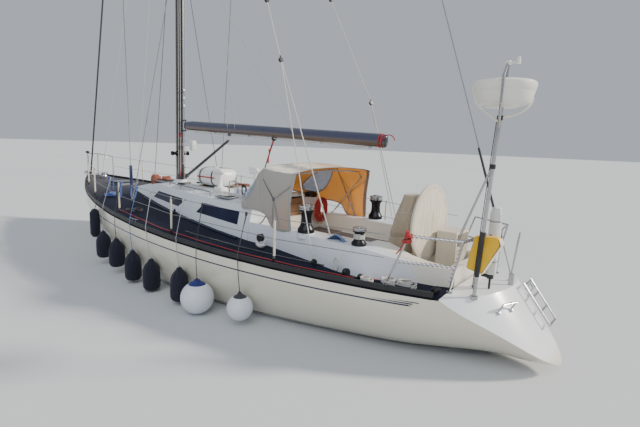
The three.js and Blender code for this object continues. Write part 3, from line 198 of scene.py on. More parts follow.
def pole_at(z):
    t = (z - POLE["foot"]) / (POLE["top"] - POLE["foot"])
    return xyz(POLE["x"] + POLE["lean"] * t, POLE["y"], z)


def rail_foot(x):
    """Point of the port side deck under the lifelines."""
    inset = RAIL_INSET
    t = min(1, max(0, (x - inset["from"]) / (inset["to"] - inset["from"])))
    y = chord(STATIONS, x, 1) - inset["amidships"] + (inset["amidships"] - inset["bow"]) * t
    return xyz(x, y, deck_at(x, y))


def wire_at(x, share):
    """Point of the port lifeline at a share of a stanchion's height."""
    ends = [rail_foot(end) for end in LIFELINE_ENDS]
    for a, b in zip(ends, ends[1:]):
        if x <= b.x:
            break
    return a.lerp(b, (x - a.x) / (b.x - a.x)) + xyz(0, 0, 0.64 * share)


# Shapes


def sheet_grid(columns, rows, place):
    """A grid whose points are laid by place(u, v), with u and v from 0 to 1."""
    bm = bmesh.new()
    bmesh.ops.create_grid(bm, x_segments=columns, y_segments=rows, size=0.5, calc_uvs=True)
    for vert in bm.verts:
        vert.co = place(vert.co.x + 0.5, vert.co.y + 0.5)
    return bm


def merge(shape, reach):
    bmesh.ops.remove_doubles(shape, verts=shape.verts, dist=reach)


def face_out(shape):
    bmesh.ops.recalc_face_normals(shape, faces=shape.faces)


def thicken(skin, thick):
    face_out(skin)
    bmesh.ops.solidify(skin, geom=skin.faces[:], thickness=thick)


def mesh_of(shape, name):
    """A shape's mesh, which uses it up."""
    mesh = bpy.data.meshes.new(name)
    shape.to_mesh(mesh)
    shape.free()
    return mesh


def joined(*shapes):
    """Several shapes as one, which uses them up."""
    whole = bmesh.new()
    for shape in shapes:
        part = mesh_of(shape, "part")
        whole.from_mesh(part)
        bpy.data.meshes.remove(part)
    return whole


def turned(profile, at=(0, 0, 0), axis=(0, 0, 1), steps=32):
    """A solid of revolution of (radius, height) points about an axis through a point."""
    bm = bmesh.new()
    verts = [bm.verts.new((radius, 0, height)) for radius, height in profile]
    edges = [bm.edges.new(pair) for pair in zip(verts, verts[1:])]
    bmesh.ops.spin(
        bm, geom=verts + edges, cent=(0, 0, 0), axis=(0, 0, 1), angle=2 * pi, steps=steps, use_merge=True
    )
    merge(bm, 1e-5)
    turn = Vector(axis).to_track_quat("Z", "Y").to_matrix().to_4x4()
    bm.transform(Matrix.Translation(at) @ turn)
    return bm


def rod(start, end, radius, sides=12, tip=None):
    """A round bar between two points, with another radius at its end where tip gives one."""
    a, b = Vector(start), Vector(end)
    turn = (b - a).to_track_quat("Z", "Y").to_matrix().to_4x4()
    bm = bmesh.new()
    bmesh.ops.create_cone(
        bm, cap_ends=True, segments=sides, radius1=radius, radius2=radius if tip is None else tip,
        depth=(b - a).length, matrix=Matrix.Translation((a + b) / 2) @ turn
    )
    return bm


def round_edges(shape, reach, segments):
    bmesh.ops.bevel(
        shape, geom=shape.edges[:], offset=reach, offset_type="OFFSET", segments=segments, profile=0.5,
        affect="EDGES", material=-1
    )


def block(low, high, round_by=0, turn=None):
    """A box between two corners, its edges rounded, turned about its middle by a matrix."""
    low, high = Vector(low), Vector(high)
    size = high - low
    bm = bmesh.new()
    bmesh.ops.create_cube(bm, size=1, matrix=Matrix.Diagonal((*size, 1)))
    if round_by:
        round_edges(bm, round_by, 2)
    bm.transform(Matrix.Translation((low + high) / 2) @ (turn or Matrix.Identity(4)))
    return bm


def ball(at, radius, stretch=(1, 1, 1), steps=16):
    bm = bmesh.new()
    bmesh.ops.create_uvsphere(bm, u_segments=steps, v_segments=steps // 2, radius=radius)
    bm.transform(Matrix.Translation(at) @ Matrix.Diagonal((*stretch, 1)))
    return bm


def line(points, radius, bend=True, sides=6, closed=False):
    """A round line along a run of points; its UV map runs in metres along it and in turns round it."""
    curve = bpy.data.curves.new("line", "CURVE")
    curve.dimensions = "3D"
    curve.bevel_depth = radius
    curve.bevel_resolution = max(0, sides // 2 - 2)
    curve.use_fill_caps = True
    curve.resolution_u = 6
    run = curve.splines.new("NURBS" if bend else "POLY")
    run.points.add(len(points) - 1)
    for place, point in zip(run.points, points):
        place.co = (*point, 1)
    if bend:
        run.order_u = min(4, len(points))
        run.use_endpoint_u = not closed
    run.use_cyclic_u = closed
    holder = placed("line", curve)
    mesh = bpy.data.meshes.new_from_object(holder)
    length = sum((Vector(b) - Vector(a)).length for a, b in zip(points, points[1:]))
    for corner in mesh.uv_layers[0].data:
        corner.uv.x *= length
    bm = bmesh.new()
    bm.from_mesh(mesh)
    bpy.data.objects.remove(holder)
    bpy.data.curves.remove(curve)
    bpy.data.meshes.remove(mesh)
    return bm


def sagging(a, b, sag, steps=8):
    """Points of a slack line between two points."""
    a, b = Vector(a), Vector(b)
    return [
        a.lerp(b, i / steps) - xyz(0, 0, 4 * sag * (i / steps) * (1 - i / steps)) for i in range(steps + 1)
    ]


def ease(a, b, c, d, t):
    """A smooth value between b and c, with a and d as the values beyond them."""
    return 0.5 * (2 * b + (c - a) * t + (2 * a - 5 * b + 4 * c - d) * t**2 + (3 * b - a - 3 * c + d) * t**3)


def net_surface(rows):
    """A function of (u, v) that gives the points of a smooth surface over rows of points."""
    high, wide = len(rows) - 1, len(rows[0]) - 1

    def along(row, u):
        spot = min(max(u, 0), 1) * wide
        i = min(int(spot), wide - 1)
        near = [row[min(max(i + k, 0), wide)] for k in (-1, 0, 1, 2)]
        return Vector(ease(*column, spot - i) for column in zip(*near))

    def surface(u, v):
        spot = min(max(v, 0), 1) * high
        j = min(int(spot), high - 1)
        near = [along(rows[min(max(j + k, 0), high)], u) for k in (-1, 0, 1, 2)]
        return Vector(ease(*column, spot - j) for column in zip(*near))

    return surface


def outward(surface, u, v):
    """The direction that a surface faces at a place on it."""
    across = surface(u + 0.004, v) - surface(u - 0.004, v)
    along = surface(u, v + 0.004) - surface(u, v - 0.004)
    return across.cross(along).normalized()


def ribbon(points, facings, width, thick):
    """A flat band along a run of points, lying square to the facings."""
    points = [Vector(point) for point in points]
    last = len(points) - 1

    def place(u, v):
        i = round(u * last)
        run = (points[min(i + 1, last)] - points[max(i - 1, 0)]).normalized()
        side = run.cross(Vector(facings[i])).normalized()
        return points[i] + side * width * (v - 0.5)

    band = sheet_grid(last, 1, place)
    thicken(band, thick)
    return band


def on_surface(surface, path, lift):
    """Points and facings along (u, v) places on a surface, lifted off it."""
    facings = [outward(surface, u, v) for u, v in path]
    return [surface(u, v) + facing * lift for (u, v), facing in zip(path, facings)], facings


def between(a, b, steps):
    """Pairs of numbers from one pair to another."""
    return [tuple(p + (q - p) * i / steps for p, q in zip(a, b)) for i in range(steps + 1)]


def coil(at, radius, turns, rope, facing=(0, 0, 1), flat=1, seed=1):
    """A loose coil of line about a point."""
    dice = random.Random(seed)
    turn = Vector(facing).to_track_quat("Z", "Y").to_matrix()
    points = []
    for i in range(turns * 12):
        angle = i * pi / 6
        reach = radius * (1 + dice.uniform(-0.1, 0.1))
        lift = rope * 1.7 * i / 12 + dice.uniform(-0.5, 0.5) * rope
        points += [Vector(at) + turn @ xyz(reach * cos(angle), reach * flat * sin(angle), lift)]
    return line(points, rope)


def hank(at, wide, high, turns, rope, facing, seed=1):
    """A made-up coil that hangs flat, with a few turns round its head."""
    dice = random.Random(seed)
    turn = Matrix((xyz(0, 0, 1).cross(Vector(facing)), Vector(facing), (0, 0, 1))).transposed()
    points = []
    for i in range(turns * 8):
        angle = i * pi / 4
        reach = 0.5 * wide * (1 + dice.uniform(-0.35, 0.25))
        drop = -0.5 * high * (1 + cos(angle)) * (1 + dice.uniform(-0.08, 0.08))
        points += [Vector(at) + turn @ xyz(reach * sin(angle), dice.uniform(0, 4) * rope, drop)]
    head = coil(Vector(at) - xyz(0, 0, 0.28 * high), 0.2 * wide, 3, rope, (0, 0, 1), 0.7, seed)
    return joined(line(points, rope), head)


def pulley(at, size, toward=(0, 0, 1)):
    """A block: two cheeks, a sheave and a shackle towards what holds it."""
    at, toward = Vector(at), Vector(toward).normalized()
    side = toward.cross(xyz(0.31, 0.94, 0.12)).normalized()
    cheeks = [
        turned(
            [(0, 0), (size * 0.5, 0), (size * 0.42, size * 0.1), (0, size * 0.12)],
            at + side * way * size * 0.16, side * way, 16
        )
        for way in (1, -1)
    ]
    sheave = rod(at - side * size * 0.15, at + side * size * 0.15, size * 0.4, 16)
    shackle = rod(at + toward * size * 0.3, at + toward * size * 0.9, size * 0.12, 8)
    return joined(*cheeks, sheave, shackle)


def mirrored(shape):
    """The same shape on the other side of the centreline."""
    other = shape.copy()
    bmesh.ops.scale(other, vec=(1, -1, 1), verts=other.verts)
    bmesh.ops.reverse_faces(other, faces=other.faces)
    return other


def box_of(node):
    """The low and high corners of a node's box."""
    return [Vector(corner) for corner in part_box(node)]


def copy_of(node):
    """A merged copy of a node's mesh."""
    bm = bmesh.new()
    bm.from_mesh(NODES[node].data)
    merge(bm, 1e-5)
    return bm


def dress(name, shape, finishes, body="yacht", covers=(), angle=35, bevel=0, closed=True):
    """Makes a shape into a piece with a finish, riding a body and standing for the nodes it covers."""
    shape = joined(*shape) if isinstance(shape, list) else shape
    if closed:
        merge(shape, 1e-6)
        face_out(shape)
    limit = radians(angle)
    for edge in shape.edges:
        edge.smooth = len(edge.link_faces) == 2 and edge.calc_face_angle() < limit
    for face in shape.faces:
        face.smooth = True
    mesh = mesh_of(shape, name)
    if "custom_normal" in mesh.attributes:
        mesh.attributes.remove(mesh.attributes["custom_normal"])
    mesh.materials.clear()
    for finish in [finishes] if isinstance(finishes, str) else finishes:
        mesh.materials.append(look(finish))
    piece = placed(name, mesh)
    if bevel:
        edges = piece.modifiers.new("Rounded edges", "BEVEL")
        edges.width = bevel
        edges.segments = 2
        edges.angle_limit = radians(40)
        edges.harden_normals = True
    if body:
        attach(piece, body)
    for node in covers:
        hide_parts(node)
    return piece


def give_wall(piece, name, thick):
    """Gives an open skin its thickness, inwards."""
    wall = piece.modifiers.new(name, "SOLIDIFY")
    wall.thickness = thick
    wall.offset = -1


def rounded_copy(node, finish, body="yacht", bevel=0.006, angle=35):
    """A piece that stands for a node: its mesh, merged, with its edges rounded."""
    return dress(f"{node}_skin", copy_of(node), finish, body, [node], angle, bevel)


def paint_nodes(finish, *nodes):
    """Gives the nodes that stay as they are their finish."""
    for node in nodes:
        mesh = NODES[node].data
        mesh.materials.clear()
        mesh.materials.append(look(finish))


# Finishes


class Finish:
    """A procedural material: a principled shader with marks, grain and relief laid on it."""

    def __init__(self, name, colour, roughness, metallic=0, **sockets):
        self.material = bpy.data.materials.new(name)
        self.material.use_nodes = True
        self.tree = self.material.node_tree
        self.shader = self.tree.nodes["Principled BSDF"]
        self.colour = (*colour, 1)
        self.normal = (0, 0, 0)
        sockets |= {"Base Color": self.colour, "Roughness": roughness, "Metallic": metallic}
        self.feed(self.shader, {socket.replace("_", " "): value for socket, value in sockets.items()})

    def feed(self, node, inputs):
        """Sets the inputs of a node, or links those that come from another node."""
        for socket, value in inputs.items():
            if isinstance(value, bpy.types.NodeSocket):
                self.tree.links.new(value, node.inputs[socket])
            else:
                node.inputs[socket].default_value = value

    def add(self, kind, inputs=None, output=0, **settings):
        """Makes a node and gives one of its outputs."""
        node = self.tree.nodes.new("ShaderNode" + kind)
        for key, value in settings.items():
            setattr(node, key, value)
        self.feed(node, inputs or {})
        return node.outputs[output]

    def place(self, scale=(1, 1, 1), turn=(0, 0, 0), surface=False):
        """Object coordinates, or the piece's own UV map, through a Mapping node."""
        source = self.add("UVMap") if surface else self.add("TexCoord", output="Object")
        return self.add("Mapping", {"Vector": source, "Scale": scale, "Rotation": turn})

    def axis(self, letter, place=None):
        """One coordinate as a number."""
        return self.add("SeparateXYZ", {"Vector": place or self.place()}, letter)

    def attribute(self, name):
        return self.add("Attribute", output="Fac", attribute_name=name)

    def number(self, operation, a, b=0):
        return self.add("Math", {0: a, 1: b}, operation=operation)

    def both(self, a, b):
        return self.number("MULTIPLY", a, b)

    def grain(self, scale, detail=3, stretch=(1, 1, 1), surface=False, turn=(0, 0, 0)):
        place = self.place(stretch, turn, surface)
        return self.add("TexNoise", {"Scale": scale, "Detail": detail, "Vector": place})

    def cells(self, scale):
        return self.add("TexVoronoi", {"Scale": scale, "Vector": self.place()})

    def level(self, value, low, high):
        """0 at low, 1 at high, held beyond them."""
        return self.add("MapRange", {"Value": value, "From Min": low, "From Max": high})

    def band(self, value, low, high, soft=0.002):
        """1 between low and high, 0 outside."""
        up = self.level(value, low - soft, low + soft)
        down = self.level(value, high + soft, high - soft)
        return self.both(up, down)

    def seams(self, value, pitch, width):
        """1 on lines at every pitch of a coordinate."""
        part = self.number("FRACT", self.number("DIVIDE", value, pitch))
        distance = self.number("ABSOLUTE", self.number("SUBTRACT", part, 0.5))
        return self.level(distance, 0.5 - width / pitch, 0.5 - 0.4 * width / pitch)

    def weave(self, pitch, surface=False):
        """The relief of a plain weave."""
        place = self.place((1 / pitch, 1 / pitch, 1 / pitch), surface=surface)
        waves = [self.number("SINE", self.axis(letter, place)) for letter in "XYZ"]
        return self.number("ADD", self.both(waves[0], waves[1]), waves[2])

    def facing(self):
        """The surface's own direction, in the frame's axes."""
        return self.add("NewGeometry", output="Normal")

    def mark(self, mask, colour, strength=1):
        """Lays a colour over the finish where the mask is 1."""
        factor = mask if strength == 1 else self.both(mask, strength)
        inputs = {0: factor, 6: self.colour, 7: (*colour, 1)}
        self.colour = self.add("Mix", inputs, 2, data_type="RGBA")
        self.feed(self.shader, {"Base Color": self.colour})
        return self

    def stain(self, colour, strength, low, high, *grain):
        """Lays a colour over the finish where a grain passes from low to high."""
        return self.mark(self.level(self.grain(*grain), low, high), colour, strength)

    def shine(self, mask, low, high):
        """Roughness from low where the mask is 0 to high where it is 1."""
        rough = self.add("MapRange", {"Value": mask, "To Min": low, "To Max": high})
        self.feed(self.shader, {"Roughness": rough})
        return self

    def relief(self, height, depth, strength=1):
        inputs = {"Height": height, "Distance": depth, "Strength": strength, "Normal": self.normal}
        self.normal = self.add("Bump", inputs)
        self.feed(self.shader, {"Normal": self.normal})
        return self

    def lets_light_through(self, colour, share):
        """Mixes in the light that comes through a thin cloth from its other side."""
        glow = self.add("BsdfTranslucent", {"Color": (*colour, 1)})
        mix = self.add("MixShader", {0: share, 1: self.shader.outputs[0], 2: glow})
        self.feed(self.tree.nodes["Material Output"], {"Surface": mix})
        return self


def placed(name, data):
    """A new object in the scene."""
    thing = bpy.data.objects.new(name, data)
    bpy.context.scene.collection.objects.link(thing)
    return thing


def look(name):
    """The finish of that name, made once."""
    if name not in LOOKS:
        make, *values = FINISHES[name]
        LOOKS[name] = make(name, *values).material
    return LOOKS[name]


def topsides(name):
    colours = settings()
    f = Finish(name, colours.topsides, 0.2, Coat_Weight=0.5, Coat_Roughness=0.12)
    f.stain((0.66, 0.63, 0.53), 0.25, 0.42, 0.75, 0.8, 5)
    streaks = f.grain(1, 4, (7, 7, 0.5))
    f.mark(f.level(streaks, 0.58, 0.8), (0.55, 0.53, 0.45), 0.14)
    drop = f.attribute("below_sheer")
    x = f.axis("X")
    centre = f.number("ADD", 0.112, f.both(x, 0.0085))
    off = f.number("SUBTRACT", drop, centre)
    ahead = f.level(x, 0.25, 0.3)
    navy = colours.stripe
    f.mark(f.both(f.band(off, -0.011, 0.011, 0.001), ahead), navy)
    for shift, fore, aft, half in ((-0.026, 0.8, 0.24, 0.009), (-0.05, 0.55, 0.17, 0.007)):
        taper = f.level(x, fore, aft + 0.1)
        width = f.both(taper, half)
        near = f.number("ABSOLUTE", f.number("SUBTRACT", off, shift))
        stroke = f.level(f.number("SUBTRACT", near, width), 0.001, -0.001)
        f.mark(f.both(f.both(stroke, f.level(x, aft, aft + 0.02)), f.level(x, fore, fore - 0.02)), navy)
    height = f.axis("Z")
    scum = f.both(f.level(height, 0.16, 0.03), f.level(f.grain(9, 5, (1, 1, 3)), 0.45, 0.7))
    f.mark(scum, (0.34, 0.35, 0.22), 0.35)
    f.mark(f.band(height, 0.045, 0.072, 0.0015), navy)
    f.mark(f.level(height, 0.021, 0.018), (0.03, 0.035, 0.05))
    # Faces that look aft or up turn to the deck's white: partly the transom's and after deck's own white
    # gelcoat, partly painted sunlight on faces turned to the sun.
    aft = f.level(f.axis("X", f.facing()), -0.35, -0.5)
    top = f.level(f.axis("Z", f.facing()), 0.6, 0.8)
    f.mark(f.both(aft, f.level(height, 0.2, 0.3)), colours.deck_white)
    f.mark(top, colours.deck_white)
    return f.relief(f.grain(1.3, 2), 0.004, 0.25)


def white_gelcoat(name):
    f = Finish(name, settings().deck_white, 0.34, Coat_Weight=0.2, Coat_Roughness=0.25)
    f.stain((0.66, 0.66, 0.63), 0.2, 0.42, 0.75, 2.2, 5)
    f.stain((0.5, 0.48, 0.42), 0.12, 0.66, 0.78, 30, 6)
    return f.relief(f.grain(220, 2), 0.0004, 0.25)


def coachroof_white(name):
    # The blue-grey tint of this white paint is painted skylight shade.
    f = Finish(name, (0.74, 0.78, 0.83), 0.42, Coat_Weight=0.15, Coat_Roughness=0.3)
    f.stain((0.63, 0.67, 0.74), 0.3, 0.42, 0.75, 1.2, 5)
    flat = f.level(f.axis("Z", f.facing()), 0.9, 0.96)
    grip = f.level(f.cells(260), 0.25, 0.55)
    f.mark(f.both(flat, grip), (0.68, 0.72, 0.78), 0.5)
    return f.relief(f.both(grip, flat), 0.0012, 0.6)


def teak_planks(name, plank, seam, pitch, width, rough, by="plank"):
    """Strips of teak with dark caulking, laid along an attribute or a coordinate."""
    f = Finish(name, plank, rough)
    along = f.grain(3.2, 6, (0.35, 9, 9))
    f.mark(f.level(along, 0.4, 0.7), [c * 1.5 for c in plank], 0.6)
    f.stain([c * 0.6 for c in plank], 0.5, 0.5, 0.75, 1.1, 3)
    value = f.attribute(by) if by == "plank" else f.axis(by)
    joints = f.seams(value, pitch, width)
    f.mark(joints, seam)
    fibre = f.grain(40, 4, (0.12, 3, 3))
    f.relief(fibre, 0.0015, 0.5)
    f.relief(f.number("SUBTRACT", 1, joints), 0.0012, 0.6)
    return f.shine(along, rough - 0.08, rough + 0.15)


def weathered_teak_with_painted_light(name):
    size = settings()
    f = teak_planks(name, size.deck_teak, (0.004, 0.004, 0.006), size.plank, 0.006, 0.62)
    # Lighter and greyer towards the bow: painted sunlight on the foredeck.
    fore = f.level(f.axis("X"), 8, 10.5)
    f.shader.inputs["Specular IOR Level"].default_value = 0.12
    return f.mark(fore, (0.2, 0.19, 0.2), 0.4)


def metal(name, colour, roughness, streak=0.25, scratched=60):
    f = Finish(name, colour, roughness, 1)
    f.stain([c * 0.72 for c in colour], streak, 0.4, 0.7, 18, 4)
    f.shine(f.grain(scratched, 3), roughness * 0.7, roughness * 1.5)
    return f.relief(f.grain(scratched * 4, 2), 0.0003, 0.2)


def moulded(name, colour, roughness, fleck=(0.5, 0.5, 0.5), amount=0.12):
    """Paint or moulded plastic with a fine grain."""
    f = Finish(name, colour, roughness, Coat_Weight=0.1, Coat_Roughness=0.3)
    f.stain(fleck, amount, 0.45, 0.75, 5, 5)
    f.shine(f.grain(12, 3), roughness * 0.8, min(1, roughness * 1.25))
    return f.relief(f.grain(300, 2), 0.0003, 0.25)


WEAVE = 0.0016
FADED = (0.4, 0.38, 0.34)


def cloth(name, colour, pitch=WEAVE, fold=FADED, amount=0.35, sheen=0.25):
    """Woven acrylic cloth, faded and creased."""
    f = Finish(name, colour, 0.85, Sheen_Weight=sheen, Sheen_Roughness=0.5)
    f.stain(fold, amount, 0.42, 0.72, 2.6, 4, (1, 1, 0.6))
    f.stain([c * 0.8 for c in colour], 0.3, 0.4, 0.65, 420, 2)
    f.relief(f.weave(pitch), 0.0004, 0.35)
    return f.relief(f.grain(9, 4, (1, 1, 0.35)), 0.012, 0.45)


def hood_cloth(name):
    f = cloth(name, settings().canvas, fold=(0.33, 0.32, 0.31), amount=0.35)
    # Lighter cream where the cloth faces up: painted sunlight on the hood's roof.
    roof = f.level(f.axis("Z", f.facing()), 0.72, 0.9)
    f.mark(roof, (0.86, 0.82, 0.7), 0.9)
    seam = f.attribute("seam")
    f.mark(f.band(seam, 0, 0.005, 0.001), (0.24, 0.22, 0.19), 0.6)
    f.relief(f.level(seam, 0.02, 0.016), 0.002, 0.5)
    # The translucent shader answers to the lamps, but its strength is placed by position, stronger to
    # starboard and in a low aft patch: painted light of the sun shining through.
    lit = f.level(f.axis("Y"), 0.5, -0.3)
    sunlit_patch = f.both(f.level(f.axis("X"), 2.9, 2.6), f.level(f.axis("Z"), 2, 1.8))
    share = f.number("ADD", f.both(lit, 0.42), f.both(sunlit_patch, 0.12))
    return f.lets_light_through((1, 0.6, 0.11), f.number("ADD", share, 0.1))


def rope_lay(name, colour, strand, pitch=0.03, turns=3):
    """A laid or braided rope, its strands wound along its own UV map."""
    f = Finish(name, colour, 0.75, Sheen_Weight=0.2)
    place = f.place(surface=True)
    along = f.number("DIVIDE", f.axis("X", place), pitch)
    around = f.both(f.axis("Y", place), float(turns))
    phase = f.number("FRACT", f.number("ADD", along, around))
    ridge = f.number("ABSOLUTE", f.number("SUBTRACT", phase, 0.5))
    f.mark(f.level(ridge, 0.38, 0.48), strand)
    f.stain([c * 0.7 for c in colour], 0.3, 0.45, 0.7, 60, 3)
    return f.relief(ridge, 0.002, 0.6)


def glass(name, colour=(0.008, 0.011, 0.035)):
    f = Finish(name, colour, 0.08, Specular_IOR_Level=0.14)
    # Lighter patches over the dark glass: painted reflections.
    f.stain([c * 2.2 for c in colour], 0.5, 0.4, 0.7, 1.6, 3)
    return f.shine(f.level(f.grain(14, 4), 0.5, 0.8), 0.05, 0.16)


def clear_film(name):
    # The clear film's blue tint and its darker blue patches are painted reflection of the sky.
    f = Finish(name, (0.3, 0.41, 0.62), 0.15, Specular_IOR_Level=0.4)
    f.stain((0.15, 0.21, 0.38), 0.6, 0.4, 0.7, 5, 3)
    f.shader.inputs["Alpha"].default_value = 0.62
    return f.relief(f.grain(6, 3), 0.01, 0.4)


def knitted(name, colour):
    f = cloth(name, colour, 0.003, [c * 1.9 for c in colour], 0.3, 0.12)
    ribs = f.number("SINE", f.both(f.axis("Z"), 420))
    f.relief(ribs, 0.001, 0.5)
    return f.stain((0.05, 0.05, 0.05), 0.3, 0.6, 0.8, 14, 5)


def vinyl(name):
    f = Finish(name, (0.76, 0.78, 0.82), 0.38, Coat_Weight=0.2)
    f.stain((0.55, 0.6, 0.68), 0.35, 0.45, 0.75, 4, 5)
    f.stain((0.36, 0.35, 0.32), 0.3, 0.62, 0.78, 22, 6, (1, 1, 2))
    return f.relief(f.grain(3, 2), 0.004, 0.3)


def carbon(name):
    f = Finish(name, (0.012, 0.012, 0.014), 0.28, Coat_Weight=0.8, Coat_Roughness=0.12)
    f.stain((0.03, 0.03, 0.034), 0.6, 0.45, 0.75, 2, 4, (3, 3, 0.3))
    return f.relief(f.weave(0.002), 0.0002, 0.3)


def boom_paint(name):
    f = Finish(name, (0.045, 0.05, 0.1), 0.3, Coat_Weight=0.5, Coat_Roughness=0.15)
    # Brown on the faces that look down: painted warm light on the boom's underside.
    below = f.level(f.axis("Z", f.facing()), 0.1, -0.25)
    f.mark(below, (0.12, 0.075, 0.05))
    f.stain((0.09, 0.09, 0.12), 0.4, 0.5, 0.75, 3, 5, (0.3, 3, 3))
    return f.relief(f.grain(50, 3, (0.2, 1, 1)), 0.0005, 0.3)


def antifouling(name):
    f = Finish(name, (0.03, 0.035, 0.05), 0.75)
    f.stain((0.06, 0.07, 0.065), 0.5, 0.45, 0.7, 4, 6)
    return f.relief(f.grain(70, 5), 0.002, 0.5)


def cockpit_white(name):
    f = moulded(name, (0.78, 0.74, 0.66), 0.35, (0.62, 0.58, 0.5), 0.3)
    # The coamings' outer faces turn blue-white: painted skylight shade on the same white moulding.
    return f.mark(f.level(f.number("ABSOLUTE", f.axis("Y")), 0.74, 0.8), (0.72, 0.76, 0.84), 0.9)


def fender_cap(name):
    tint = (0.006, 0.016, 0.14) if name.endswith("6") else (0.035, 0.04, 0.05)
    return moulded(name, tint, 0.4, [c * 2 for c in tint], 0.3)


def wheel_cloth(name):
    f = cloth(name, settings().cover, fold=(0.52, 0.46, 0.34), amount=0.35)
    creases = f.grain(7, 3, (1, 3.2, 0.5))
    # Darker along the same crease pattern that gives the relief: painted shade of the folds.
    f.mark(f.level(creases, 0.52, 0.7), (0.46, 0.41, 0.31), 0.45)
    return f.relief(creases, 0.01, 0.35)


ROPES = {
    "White rope": ((0.6, 0.58, 0.54), (0.3, 0.3, 0.32)),
    "Flecked rope": ((0.03, 0.03, 0.035), (0.55, 0.54, 0.52)),
    "Red rope": ((0.45, 0.016, 0.018), (0.36, 0.1, 0.08)),
    "Blue rope": ((0.02, 0.09, 0.4), (0.5, 0.54, 0.6)),
    "Black rope": ((0.018, 0.018, 0.02), (0.11, 0.11, 0.12)),
    "Grey rope": ((0.34, 0.35, 0.37), (0.5, 0.51, 0.52)),
    "Tan rope": ((0.27, 0.08, 0.045), (0.4, 0.2, 0.13)),
}
STEEL = (metal, (0.5, 0.5, 0.51), 0.2, 0.5)
FINISHES = {
    "Anodised": (metal, (0.42, 0.43, 0.45), 0.35),
    "Antifouling": (antifouling,),
    "Bench teak": (teak_planks, (0.19, 0.165, 0.17), (0.015, 0.014, 0.016), 0.05, 0.006, 0.55, "Y"),
    "Binding": (cloth, (0.72, 0.66, 0.5)),
    "Binding grey": (cloth, (0.25, 0.26, 0.28), 0.003),
    "Binnacle cover": (cloth, (0.42, 0.34, 0.24), WEAVE, (0.7, 0.62, 0.5), 0.4),
    "Block": (moulded, (0.014, 0.014, 0.016), 0.4, (0.05, 0.05, 0.05), 0.4),
    "Blue canvas": (cloth, (0.1, 0.18, 0.36), WEAVE, (0.2, 0.28, 0.45)),
    "Boom paint": (boom_paint,),
    "Bottle": (moulded, (0.012, 0.012, 0.014), 0.25, (0.04, 0.04, 0.04), 0.3),
    "Bronze": (metal, (0.42, 0.28, 0.12), 0.38, 0.5),
    "Canister": (moulded, (0.8, 0.8, 0.78), 0.35, (0.6, 0.6, 0.58), 0.25),
    "Canvas": (hood_cloth,),
    "Carbon": (carbon,),
    "Clear film": (clear_film,),
    "Coachroof white": (coachroof_white,),
    "Cockpit white": (cockpit_white,),
    "Cover edging": (cloth, (0.6, 0.56, 0.46), WEAVE, FADED, 0.4),
    "Danbuoy bag": (cloth, (0.7, 0.7, 0.68), WEAVE, (0.42, 0.42, 0.42)),
    "Dark wire": (metal, (0.1, 0.1, 0.11), 0.35),
    "Dome": (moulded, (0.82, 0.8, 0.72), 0.3, (0.7, 0.68, 0.6), 0.2),
    "Fender cover": (knitted, (0.006, 0.007, 0.02)),
    "Fender vinyl": (vinyl,),
    "Galvanised": (metal, (0.36, 0.37, 0.38), 0.55),
    "Hatch frame": (metal, (0.42, 0.43, 0.45), 0.35),
    "Helm box": (moulded, (0.62, 0.56, 0.46), 0.5, (0.45, 0.4, 0.33), 0.3),
    "Helm panel": (moulded, (0.19, 0.16, 0.12), 0.6, (0.32, 0.28, 0.2), 0.5),
    "Hood binding": (cloth, (0.36, 0.35, 0.33), WEAVE, FADED, 0.4),
    "Hood strap": (cloth, (0.1, 0.1, 0.12), 0.003),
    "Hood webbing": (cloth, (0.3, 0.29, 0.27), 0.003),
    "Lamp lens": (glass, (0.25, 0.03, 0.02)),
    "Mast boot": (moulded, (0.7, 0.71, 0.72), 0.5, (0.5, 0.5, 0.5), 0.3),
    "Navy cloth": (cloth, (0.03, 0.04, 0.12)),
    "Oiled teak": (teak_planks, (0.26, 0.15, 0.08), (0.02, 0.015, 0.01), 0.14, 0.006, 0.4, "Z"),
    "Polished tube": STEEL,
    "Red band": (moulded, (0.42, 0.03, 0.03), 0.5, (0.6, 0.3, 0.25), 0.3),
    "Red tab": (cloth, (0.55, 0.03, 0.02)),
    "Rigging wire": STEEL,
    "Sleeve": (cloth, (0.72, 0.66, 0.54)),
    "Smoked acrylic": (glass, (0.02, 0.025, 0.03)),
    "Toe rail": (moulded, (0.01, 0.01, 0.013), 0.5, (0.03, 0.03, 0.03), 0.4),
    "Topsides": (topsides,),
    "Track": (metal, (0.05, 0.06, 0.11), 0.35),
    "Vent throat": (moulded, (0.03, 0.03, 0.035), 0.6, (0.06, 0.06, 0.06), 0.3),
    "Weathered teak": (weathered_teak_with_painted_light,),
    "Wheel cover": (wheel_cloth,),
    "White gelcoat": (white_gelcoat,),
    "Winch drum": (metal, (0.035, 0.035, 0.04), 0.3, 0.4),
    "Winch top": STEEL,
    "Window": (glass,),
    "Window frame": (moulded, (0.012, 0.012, 0.016), 0.3, (0.05, 0.05, 0.05), 0.3),
    "Yellow cloth": (cloth, (0.85, 0.5, 0.02), WEAVE, (0.6, 0.28, 0.01), 0.45),
    **dict.fromkeys(("Fender cap 6", "Fender cap 7"), (fender_cap,)),
    **{name: (rope_lay, *colours) for name, colours in ROPES.items()},
}


def settings():
    return bpy.context.scene.yacht


def colour(name, description, default):
    return FloatVectorProperty(
        name=name, description=description, subtype="COLOR", size=3, min=0, max=1, default=default
    )


